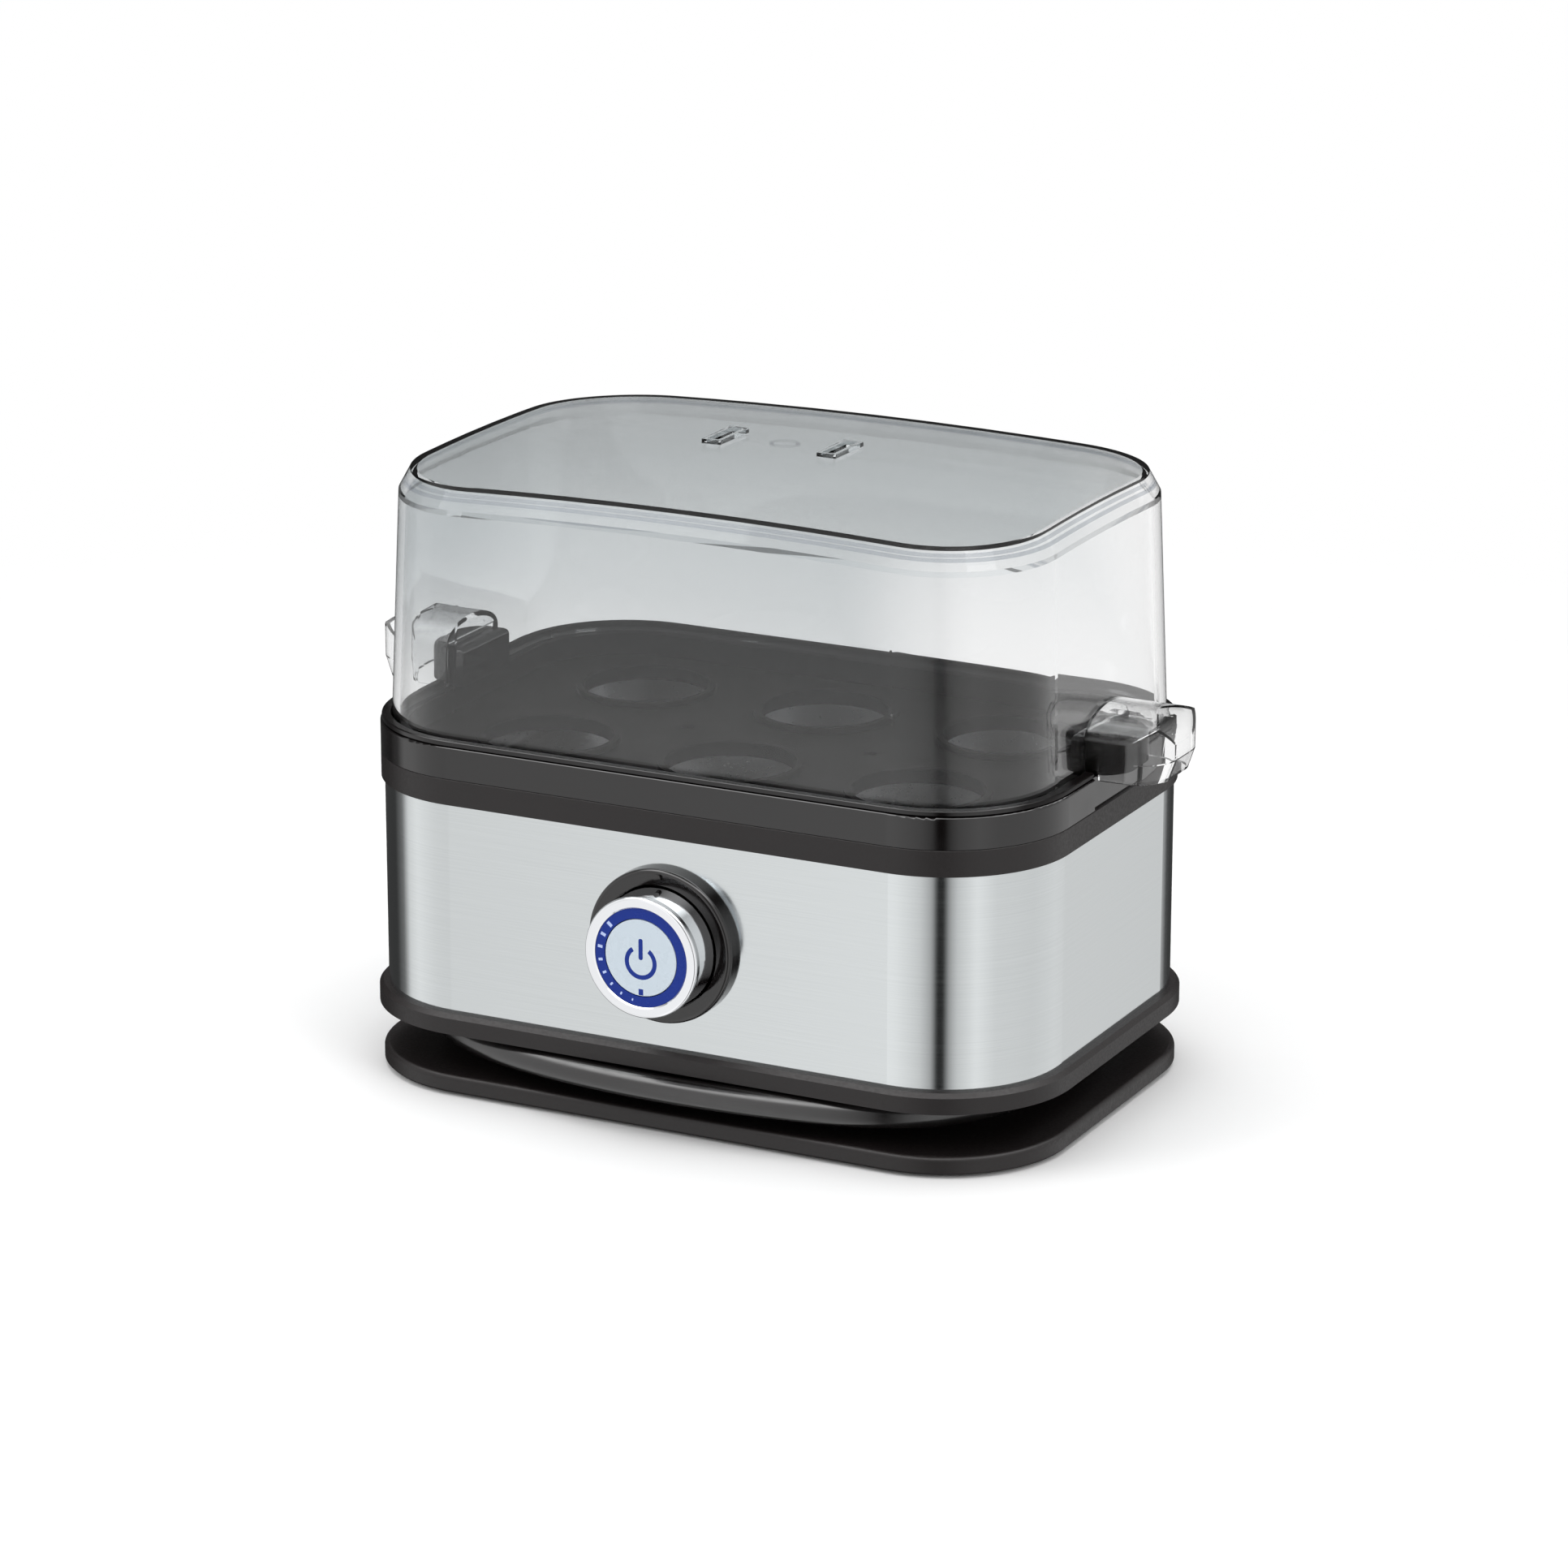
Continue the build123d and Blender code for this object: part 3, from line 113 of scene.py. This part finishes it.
for point, (x, y, z) in zip(cord_line.points, cord_points_mm):
    point.co = (x * MM, y * MM + dial_axis_y, z * MM, 1)
    point.radius = cord_radius
cord_line.order_u = 3
cord_line.use_endpoint_u = True
cord = bpy.data.objects.new("mains_cord", cord_curve)
bpy.context.scene.collection.objects.link(cord)
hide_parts("power_cord")
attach(cord, "housing")
print("cord control points:", len(cord_points_mm))

# %% [markdown]
# ## Helpers for finishes
#
# Each finish is a small node tree round one Principled shader. The plain values go straight on the
# shader's sockets. Only what varies over the surface, such as grain and scuffs, comes from texture nodes.


# %% Start a finish
def new_finish(name, color, roughness, metallic=0.0, coat=0.0):
    """A material with one Principled shader, its plain values set."""
    material = bpy.data.materials.new(name)
    material.use_nodes = True
    shader = material.node_tree.nodes["Principled BSDF"]
    shader.inputs["Base Color"].default_value = (*color, 1)
    shader.inputs["Roughness"].default_value = roughness
    shader.inputs["Metallic"].default_value = metallic
    shader.inputs["Coat Weight"].default_value = coat
    return material, material.node_tree.nodes, material.node_tree.links, shader


def object_noise(tree_nodes, tree_links, stretch, scale, detail=4.0, rough=0.55):
    """Noise over the piece's own coordinates, stretched by a factor along each axis."""
    place = tree_nodes.new("ShaderNodeTexCoord")
    mapping = tree_nodes.new("ShaderNodeMapping")
    mapping.inputs["Scale"].default_value = stretch
    noise = tree_nodes.new("ShaderNodeTexNoise")
    noise.inputs["Scale"].default_value = scale
    noise.inputs["Detail"].default_value = detail
    noise.inputs["Roughness"].default_value = rough
    tree_links.new(place.outputs["Object"], mapping.inputs["Vector"])
    tree_links.new(mapping.outputs["Vector"], noise.inputs["Vector"])
    return noise


def bump_from(tree_nodes, tree_links, height, shader, strength, distance):
    """Feed a height to the shader's normal."""
    bump = tree_nodes.new("ShaderNodeBump")
    bump.inputs["Strength"].default_value = strength
    bump.inputs["Distance"].default_value = distance
    tree_links.new(height.outputs[0], bump.inputs["Height"])
    tree_links.new(bump.outputs["Normal"], shader.inputs["Normal"])


def vary(tree_nodes, tree_links, noise, socket, low, high, start=0.35, end=0.65):
    """Drive a socket between two values by the noise."""
    spread = tree_nodes.new("ShaderNodeMapRange")
    spread.inputs["From Min"].default_value = start
    spread.inputs["From Max"].default_value = end
    spread.inputs["To Min"].default_value = low
    spread.inputs["To Max"].default_value = high
    tree_links.new(noise.outputs[0], spread.inputs["Value"])
    tree_links.new(spread.outputs["Result"], socket)


def tint(tree_nodes, tree_links, noise, shader, dark, light, start=0.35, end=0.65):
    """Colour between two tones by the noise."""
    ramp = tree_nodes.new("ShaderNodeValToRGB")
    ramp.color_ramp.elements[0].position = start
    ramp.color_ramp.elements[0].color = (*dark, 1)
    ramp.color_ramp.elements[1].position = end
    ramp.color_ramp.elements[1].color = (*light, 1)
    tree_links.new(noise.outputs[0], ramp.inputs["Fac"])
    tree_links.new(ramp.outputs["Color"], shader.inputs["Base Color"])


def dress(material, *names):
    """Give a finish to nodes of the frame."""
    for name in names:
        slots = nodes[name].material_slots
        for slot in slots:
            slot.material = material
        if not slots:
            nodes[name].data.materials.append(material)
    print(material.name, "on", len(names), "pieces")


# %% [markdown]
# ## Colours and coats that depend on a place
#
# Some finishes change over a piece, such as a coat that starts at a height. Three short helpers make that
# readable: one does arithmetic, one turns a range into a smooth step, and one turns a colour into another.

# %% Small number nodes
def number(tree_nodes, tree_links, operation, first, second=None, third=None):
    """A maths node; each input is a socket or a plain number."""
    node = tree_nodes.new("ShaderNodeMath")
    node.operation = operation
    for socket, value in zip(node.inputs, (first, second, third)):
        if hasattr(value, "links"):
            tree_links.new(value, socket)
        elif value is not None:
            socket.default_value = value
    return node.outputs[0]


def between(tree_nodes, tree_links, value, low, high):
    """From 0 to 1, smoothly, as a value goes from one number to another."""
    ramp = tree_nodes.new("ShaderNodeMapRange")
    ramp.interpolation_type = "SMOOTHSTEP"
    ramp.inputs["From Min"].default_value = low
    ramp.inputs["From Max"].default_value = high
    tree_links.new(value, ramp.inputs["Value"])
    return ramp.outputs["Result"]


def blend_colors(tree_nodes, tree_links, factor, first, second):
    """One colour turning into another; each is a socket or a plain colour."""
    mix = tree_nodes.new("ShaderNodeMix")
    mix.data_type = "RGBA"
    tree_links.new(factor, mix.inputs["Factor"])
    for socket, color in ((mix.inputs["A"], first), (mix.inputs["B"], second)):
        if hasattr(color, "links"):
            tree_links.new(color, socket)
        else:
            socket.default_value = (*color, 1)
    return mix.outputs["Result"]


# %% [markdown]
# ## Brushed steel
#
# The band is sheet steel, brushed along its length. Fine streaks run level round the box, so the noise is
# stretched far along X and Y and left short along Z. The same streaks shade the roughness and the bump,
# which spreads every reflection upright, as the real sheet does.

# %% Brushed steel
steel, n, l, shader = new_finish("brushed_steel", (0.61, 0.635, 0.64), 0.13, metallic=1.0)
streaks = object_noise(n, l, (3, 3, 1500), 7.0, detail=6.0, rough=0.7)
vary(n, l, streaks, shader.inputs["Roughness"], 0.08, 0.14)
tint(n, l, streaks, shader, (0.585, 0.61, 0.615), (0.64, 0.665, 0.67))
bump_from(n, l, streaks, shader, 0.05, 0.00002)
dress(steel, "steel_band")

# %% [markdown]
# ## Chrome, and the plated parts
#
# The knob is polished, so it only mirrors the studio. A trace of haze in its roughness stops it from
# looking like a computer's perfect mirror.

# %% Chrome and plated steel
chrome, n, l, shader = new_finish("polished_chrome", (0.82, 0.83, 0.85), 0.06, metallic=1.0)
haze = object_noise(n, l, (1, 1, 1), 260.0)
vary(n, l, haze, shader.inputs["Roughness"], 0.03, 0.07)
dress(chrome, "knob_shell", "plug_pins")

plated, n, l, shader = new_finish("plated_steel", (0.55, 0.55, 0.55), 0.35, metallic=1.0)
grain = object_noise(n, l, (1, 1, 1), 900.0)
vary(n, l, grain, shader.inputs["Roughness"], 0.28, 0.45)
dress(plated, "foot_screws", "housing_screws", "heating_element", "thermal_fuse", "board_screws", "clamp_screw")

# %% [markdown]
# ## Black plastics
#
# Three blacks meet on this cooker. The bands and the foot plate are moulded with a fine matt grain, the rim
# and the bezel are polished, and the tray's floor is satin: it lies flat, and a polished one would mirror the
# white behind it. The tray's edge gets a polished coat, which starts at the edge's height, and the handles a
# weaker one. All are a warm charcoal, not a pure black.

# %% Matt, gloss and satin black
matt_black, n, l, shader = new_finish("matt_black", (0.0095, 0.0072, 0.0072), 0.42)
shader.inputs["Specular IOR Level"].default_value = 0.42
grain = object_noise(n, l, (1, 1, 1), 1600.0, detail=3.0)
vary(n, l, grain, shader.inputs["Roughness"], 0.36, 0.48)
bump_from(n, l, grain, shader, 0.2, 0.00003)
dress(matt_black, "foot_plate", "base_pan", "upper_band", "bezel_nut", "board_bracket", "cord_clamp",
      "knob_hub", "switch_plunger")

gloss_black, n, l, shader = new_finish("gloss_black", (0.004, 0.003, 0.003), 0.1)
shader.inputs["Specular IOR Level"].default_value = 0.7
waviness = object_noise(n, l, (1, 1, 1), 90.0, detail=2.0)
vary(n, l, waviness, shader.inputs["Roughness"], 0.07, 0.14)
bump_from(n, l, waviness, shader, 0.05, 0.0001)
dress(gloss_black, "rim", "knob_bezel", "capacitor", "buzzer")

satin_black, n, l, shader = new_finish("satin_black", (0.004, 0.003, 0.003), 0.42)
shader.inputs["Specular IOR Level"].default_value = 0.015
shader.inputs["Coat Roughness"].default_value = 0.08
waviness = object_noise(n, l, (1, 1, 1), 120.0, detail=2.0)
vary(n, l, waviness, shader.inputs["Roughness"], 0.38, 0.46)
bump_from(n, l, waviness, shader, 0.05, 0.00005)
tray_place = n.new("ShaderNodeTexCoord")
tray_axes = n.new("ShaderNodeSeparateXYZ")
l.new(tray_place.outputs["Object"], tray_axes.inputs[0])
tray_edge_low, tray_edge_high = 85.0 * MM, 85.6 * MM
tray_end, handle_start = 81.0 * MM, 84.0 * MM
handle_coat = 0.3
raised = between(n, l, tray_axes.outputs["Z"], tray_edge_low, tray_edge_high)
on_tray = between(n, l, number(n, l, "ABSOLUTE", tray_axes.outputs["X"]), handle_start, tray_end)
polish = number(n, l, "MULTIPLY_ADD", on_tray, 1 - handle_coat, handle_coat)
l.new(number(n, l, "MULTIPLY", raised, polish), shader.inputs["Coat Weight"])
dress(satin_black, "egg_tray")

# %% [markdown]
# ## Rubber, cord and the small inner parts
#
# The feet are dull rubber, and the cord's sheath is a soft plastic with a fair shine. The parts inside are
# only seen when the cooker is opened, so one loop gives each its material's plain look.

# %% Rubber and cord
rubber, n, l, shader = new_finish("soft_rubber", (0.02, 0.02, 0.02), 0.7)
grain = object_noise(n, l, (1, 1, 1), 1400.0)
bump_from(n, l, grain, shader, 0.3, 0.00005)
dress(rubber, "rubber_feet")

cord_black, n, l, shader = new_finish("cord_black", (0.008, 0.007, 0.007), 0.22)
shader.inputs["Specular IOR Level"].default_value = 0.9
grain = object_noise(n, l, (1, 1, 1), 260.0)
vary(n, l, grain, shader.inputs["Roughness"], 0.18, 0.27)
bump_from(n, l, grain, shader, 0.05, 0.00004)
cord.data.materials.append(cord_black)
dress(cord_black, "cord_strain_relief", "inner_lead", "plug_body")

# %% Small inner parts
inner_finishes = [
    ("aluminium_tub", (0.55, 0.55, 0.56), 0.32, 1.0, ["water_tub", "heating_plate"]),
    ("grey_silicone", (0.45, 0.45, 0.45), 0.6, 0.0, ["tub_seal"]),
    ("pale_plastic", (0.72, 0.71, 0.66), 0.45, 0.0,
     ["thermostat", "rotary_encoder", "power_switch", "relay", "terminal_block", "button_stem"]),
    ("green_board", (0.02, 0.12, 0.05), 0.35, 0.0, ["control_board"]),
    ("wire_sheath", (0.20, 0.08, 0.03), 0.4, 0.0,
     ["supply_wires", "heater_wires", "board_wires", "earth_wire"]),
]
for name, color, roughness, metallic, wearers in inner_finishes:
    finish, n, l, shader = new_finish(name, color, roughness, metallic)
    grain = object_noise(n, l, (1, 1, 1), 800.0)
    vary(n, l, grain, shader.inputs["Roughness"], roughness * 0.85, roughness * 1.15)
    dress(finish, *wearers)

# %% [markdown]
# ## The dial's colours
#
# The ring is a deep printed blue, the button a pale silver under a thin clear coat, and the marks are a
# light blue. A fine grain in each roughness keeps them from looking like flat paint.

# %% Dial colours
ring_blue, n, l, shader = new_finish("ring_blue", (0.006, 0.028, 0.24), 0.25)
shader.inputs["Specular IOR Level"].default_value = 0.2
grain = object_noise(n, l, (1, 1, 1), 500.0)
vary(n, l, grain, shader.inputs["Roughness"], 0.2, 0.3)
dress(ring_blue, "scale_ring", "power_symbol")

disc_silver, n, l, shader = new_finish("disc_silver", (0.56, 0.64, 0.71), 0.3, coat=0.3)
grain = object_noise(n, l, (1, 1, 1), 500.0)
vary(n, l, grain, shader.inputs["Roughness"], 0.25, 0.36)
dress(disc_silver, "power_button")

mark_white, n, l, shader = new_finish("mark_white", (0.45, 0.55, 0.85), 0.4)
grain = object_noise(n, l, (1, 1, 1), 900.0)
vary(n, l, grain, shader.inputs["Roughness"], 0.35, 0.45)
dress(mark_white, "scale_marks")

# %% [markdown]
# ## The clear lid
#
# The lid is one moulding of clear plastic, and glass alone would look too clean. Shade and reflection are
# painted into its colour by place: a painted grey near the top and to the left, clearer low down and to the
# right, a tone painted on the level top, and painted shade where the wall turns away from the eye. Layer
# Weight tells how far a face is turned. The lid's top is slightly domed, so heights are measured down from
# the dome. That lets one thin painted dark line follow the lower edge of the stepped shoulder all the way
# round.

# %% Clear lid
clear, n, l, shader = new_finish("clear_plastic", (0.93, 0.95, 0.955), 0.02)
shader.inputs["Transmission Weight"].default_value = 1.0
shader.inputs["IOR"].default_value = 1.49
shader.inputs["Specular IOR Level"].default_value = 0.12
grain = object_noise(n, l, (1, 1, 1), 40.0)
vary(n, l, grain, shader.inputs["Roughness"], 0.0, 0.03)

place = n.new("ShaderNodeTexCoord")
axes = n.new("ShaderNodeSeparateXYZ")
l.new(place.outputs["Object"], axes.inputs[0])
# Painted shade: a grey painted on by place, greyer to the left, high up and at the back, clearer low down and
# to the right.
to_right = between(n, l, axes.outputs["X"], 40 * MM, 78 * MM)
low_down = between(n, l, axes.outputs["Z"], 132 * MM, 88 * MM)
painted_grey_fades = number(n, l, "MAXIMUM", to_right, number(n, l, "MULTIPLY", low_down, 0.8))
at_back = between(n, l, axes.outputs["Y"], 0.0, 50 * MM)
painted_grey_shade = blend_colors(n, l, at_back, (0.66, 0.685, 0.695), (0.79, 0.815, 0.825))
shaded_wall_color = blend_colors(n, l, painted_grey_fades, painted_grey_shade, (0.99, 0.99, 0.99))
facing = n.new("ShaderNodeNewGeometry")
facing_axes = n.new("ShaderNodeSeparateXYZ")
l.new(facing.outputs["Normal"], facing_axes.inputs[0])
# Painted reflection: the level top, high up, gets a grey tone of its own in place of what it reflects.
level = between(n, l, number(n, l, "ABSOLUTE", facing_axes.outputs["Z"]), 0.80, 0.97)
high_up = between(n, l, axes.outputs["Z"], 125 * MM, 135 * MM)
painted_body_color = blend_colors(n, l, number(n, l, "MULTIPLY", level, high_up), shaded_wall_color, (0.86, 0.885, 0.89))

dome_top = 149.45 * MM
dome_half_x, dome_half_y = 85 * MM, 56 * MM
sag_at_end, sag_at_side = 2.68 * MM, 1.91 * MM
line_depth, line_half_width = 2.7 * MM, 0.4 * MM
across = number(n, l, "DIVIDE", axes.outputs["X"], dome_half_x)
sag_x = number(n, l, "MULTIPLY", number(n, l, "POWER", across, 2.0), sag_at_end)
along = number(n, l, "DIVIDE", number(n, l, "SUBTRACT", axes.outputs["Y"], dial_axis_y), dome_half_y)
sag_y = number(n, l, "MULTIPLY", number(n, l, "POWER", along, 2.0), sag_at_side)
dome = number(n, l, "ADD", number(n, l, "ADD", axes.outputs["Z"], sag_x), sag_y)
below_dome = number(n, l, "SUBTRACT", dome_top, dome)
# Painted shade: a thin dark line painted along the lower edge of the shoulder.
painted_shoulder_shade = number(n, l, "COMPARE", below_dome, line_depth, line_half_width)
shoulder_shaded_color = blend_colors(n, l, painted_shoulder_shade, painted_body_color, (0.42, 0.45, 0.49))

# %% [markdown]
# Plastic enters the mould at one spot, and leaves a faint oval there, between the two vents. It is a ring
# round a point, squeezed into an oval by a scale of its own in each direction.

# %% The mark that the mould's gate left on the lid
gate_x, gate_y = -4.0 * MM, 15.55 * MM
gate_half_x, gate_half_y = 3.3 * MM, 3.0 * MM
to_gate = n.new("ShaderNodeVectorMath")
to_gate.operation = "SUBTRACT"
to_gate.inputs[1].default_value = (gate_x, gate_y, 0)
flatten = n.new("ShaderNodeVectorMath")
flatten.operation = "MULTIPLY"
flatten.inputs[1].default_value = (1 / gate_half_x, 1 / gate_half_y, 0)
from_gate = n.new("ShaderNodeVectorMath")
from_gate.operation = "LENGTH"
l.new(place.outputs["Object"], to_gate.inputs[0])
l.new(to_gate.outputs[0], flatten.inputs[0])
l.new(flatten.outputs[0], from_gate.inputs[0])
gate_ring = number(n, l, "COMPARE", from_gate.outputs["Value"], 1.0, 0.16)
marked_color = blend_colors(n, l, gate_ring, shoulder_shaded_color, (0.62, 0.64, 0.66))
# Painted shade: the wall's colour is darkened where it turns away from the eye.
turned = n.new("ShaderNodeLayerWeight")
turned.inputs["Blend"].default_value = 0.5
painted_dark_edge = between(n, l, turned.outputs["Facing"], 0.84, 1.0)
l.new(blend_colors(n, l, painted_dark_edge, marked_color, (0.36, 0.39, 0.42)), shader.inputs["Base Color"])
dress(clear, "lid")

# %% [markdown]
# ## Studio
#
# The floor is pale and plain, and fades into the white behind it, so that the horizon never shows. The
# fade is a ring on the floor itself: solid near the object, where its shadow falls, and clear further out.
# Mirrored rays pass through the floor, so that the steel shows the soft boxes and not the floor.

# %% Floor
floor_solid = 0.22
floor_gone = 0.55
bpy.ops.mesh.primitive_circle_add(vertices=96, radius=floor_gone, fill_type="NGON", location=(0, 0, 0))
floor = bpy.context.object
floor.name = "floor"
floor_finish = bpy.data.materials.new("floor_white")
floor_finish.use_nodes = True
n, l = floor_finish.node_tree.nodes, floor_finish.node_tree.links
shader = n["Principled BSDF"]
shader.inputs["Base Color"].default_value = (0.96, 0.96, 0.96, 1)
shader.inputs["Roughness"].default_value = 1.0
shader.inputs["Specular IOR Level"].default_value = 0.0
clear_air = n.new("ShaderNodeBsdfTransparent")
place = n.new("ShaderNodeTexCoord")
from_middle = n.new("ShaderNodeVectorMath")
from_middle.operation = "LENGTH"
fade = n.new("ShaderNodeMapRange")
fade.interpolation_type = "SMOOTHSTEP"
fade.inputs["From Min"].default_value = floor_solid
fade.inputs["From Max"].default_value = floor_gone
light_path = n.new("ShaderNodeLightPath")
blend = n.new("ShaderNodeMixShader")
l.new(place.outputs["Object"], from_middle.inputs[0])
l.new(from_middle.outputs["Value"], fade.inputs["Value"])
unseen = number(n, l, "MAXIMUM", fade.outputs["Result"], light_path.outputs["Is Glossy Ray"])
l.new(unseen, blend.inputs["Fac"])
l.new(shader.outputs[0], blend.inputs[1])
l.new(clear_air.outputs[0], blend.inputs[2])
l.new(blend.outputs[0], n["Material Output"].inputs["Surface"])
floor.data.materials.append(floor_finish)
print("floor radius in mm:", floor_gone / MM)

# %% [markdown]
# ## What the metal mirrors
#
# A photographer builds a ring of soft boxes round a shiny object and hangs black flags between them, which
# draw the dark lines that make steel look like steel. Here the ring is the world itself. The angle round
# the object runs through a colour ramp: each stop is the edge of a soft box or of a flag. A strong light hangs
# overhead and draws the bright thin lines on rounded edges. It is open straight above, so that level black
# parts stay black when seen from above. Only mirrored rays see the ring, and the camera sees plain white.
# A ray that leaves through the clear lid sees white low down, as the camera does, and a grey flag above.

# %% Ring of soft boxes and flags
world = bpy.data.worlds.new("studio")
bpy.context.scene.world = world
world.use_nodes = True
n, l = world.node_tree.nodes, world.node_tree.links
n.clear()
direction = n.new("ShaderNodeTexCoord")
parts = n.new("ShaderNodeSeparateXYZ")
l.new(direction.outputs["Generated"], parts.inputs[0])
front = number(n, l, "MULTIPLY", parts.outputs["Y"], -1.0)
around = number(n, l, "ARCTAN2", parts.outputs["X"], front)
turns = n.new("ShaderNodeMapRange")
turns.inputs["From Min"].default_value = -math.pi
turns.inputs["From Max"].default_value = math.pi
l.new(around, turns.inputs["Value"])
# Each stop is an angle in degrees, 0 at the front and 90 at the right, and a brightness.
ring_of_light = [
    (-180, 0.05), (-104, 0.05), (-90, 0.22), (-80, 0.95), (-68, 1.12), (-46, 0.97), (-32, 0.93), (-22, 1.2),
    (-6, 1.02), (4, 0.88), (14, 0.55), (19, 0.02), (25, 0.02), (30, 0.5), (37, 0.84), (54, 1.15), (72, 0.95),
    (110, 0.9), (140, 0.97), (157, 0.9), (166, 0.1), (180, 0.05),
]
ring = n.new("ShaderNodeValToRGB")
stops = ring.color_ramp.elements
stops[1].position = 1.0
for index, (angle, level) in enumerate(ring_of_light):
    position = (angle + 180) / 360
    if index == 0:
        stop = stops[0]
    elif index == len(ring_of_light) - 1:
        stop = stops[len(stops) - 1]
    else:
        stop = stops.new(position)
    stop.position = position
    stop.color = (level, level, level, 1)
l.new(turns.outputs["Result"], ring.inputs["Fac"])

# Heights are those of a direction's tip: 0 is level and 1 is straight up.
overhead_starts, overhead_full = 0.64, 0.82
overhead_ends, overhead_open = 0.90, 0.96
overhead_light = 4.5
overhead = n.new("ShaderNodeMapRange")
overhead.inputs["From Min"].default_value = overhead_starts
overhead.inputs["From Max"].default_value = overhead_full
l.new(parts.outputs["Z"], overhead.inputs["Value"])
overhead_box = n.new("ShaderNodeMix")
overhead_box.data_type = "RGBA"
overhead_box.inputs["B"].default_value = (overhead_light, overhead_light, overhead_light, 1)
not_above = between(n, l, parts.outputs["Z"], overhead_open, overhead_ends)
l.new(number(n, l, "MULTIPLY", overhead.outputs["Result"], not_above), overhead_box.inputs["Factor"])
l.new(ring.outputs["Color"], overhead_box.inputs["A"])

mirrored = n.new("ShaderNodeBackground")
l.new(overhead_box.outputs["Result"], mirrored.inputs["Color"])
soft_grey = n.new("ShaderNodeBackground")
soft_grey.inputs["Color"].default_value = (1, 1, 1, 1)
soft_grey.inputs["Strength"].default_value = 0.6
flag_above = n.new("ShaderNodeMapRange")
flag_above.inputs["From Min"].default_value = 0.02
flag_above.inputs["From Max"].default_value = 0.22
flag_above.inputs["To Min"].default_value = 1.0
flag_above.inputs["To Max"].default_value = 0.3
l.new(parts.outputs["Z"], flag_above.inputs["Value"])
through_lid = n.new("ShaderNodeBackground")
l.new(flag_above.outputs["Result"], through_lid.inputs["Color"])
white = n.new("ShaderNodeBackground")
white.inputs["Color"].default_value = (1, 1, 1, 1)
white.inputs["Strength"].default_value = 1.0
light_path = n.new("ShaderNodeLightPath")
output = n.new("ShaderNodeOutputWorld")
surface = soft_grey
for ray, seen in (("Is Glossy Ray", mirrored), ("Is Transmission Ray", through_lid), ("Is Camera Ray", white)):
    choose = n.new("ShaderNodeMixShader")
    l.new(light_path.outputs[ray], choose.inputs["Fac"])
    l.new(surface.outputs[0], choose.inputs[1])
    l.new(seen.outputs[0], choose.inputs[2])
    surface = choose
l.new(surface.outputs[0], output.inputs["Surface"])
print("stops round the ring:", len(ring_of_light))

# %% [markdown]
# ## Lamps and the finish
#
# Three large soft lamps light what isn't shiny: one on each side and a wide one above. They are hidden from
# mirrored rays, because the ring already draws every reflection.


# %% Lamps
def soft_lamp(name, place, aim, size, power):
    """A square lamp that faces a point."""
    lamp_data = bpy.data.lights.new(name, "AREA")
    lamp_data.shape = "RECTANGLE"
    lamp_data.size, lamp_data.size_y = size
    lamp_data.energy = power
    lamp = bpy.data.objects.new(name, lamp_data)
    lamp.location = place
    lamp.rotation_euler = (Vector(aim) - Vector(place)).to_track_quat("-Z", "Y").to_euler()
    lamp.visible_glossy = False
    bpy.context.scene.collection.objects.link(lamp)
    print(name, "of", power, "watts")


middle = (0, 0, 0.07)
soft_lamp("lamp_left", (-0.9, -0.8, 0.7), middle, (0.7, 0.9), 5.0)
soft_lamp("lamp_right", (1.0, -0.4, 0.6), middle, (0.5, 0.9), 3.0)
soft_lamp("lamp_above", (0, 0, 1.2), middle, (1.0, 1.0), 8.0)

# %% [markdown]
# Last, the colours are shown plainly, through the Standard view transform.

# %% Finish the scene
bpy.context.scene.view_settings.view_transform = "Standard"
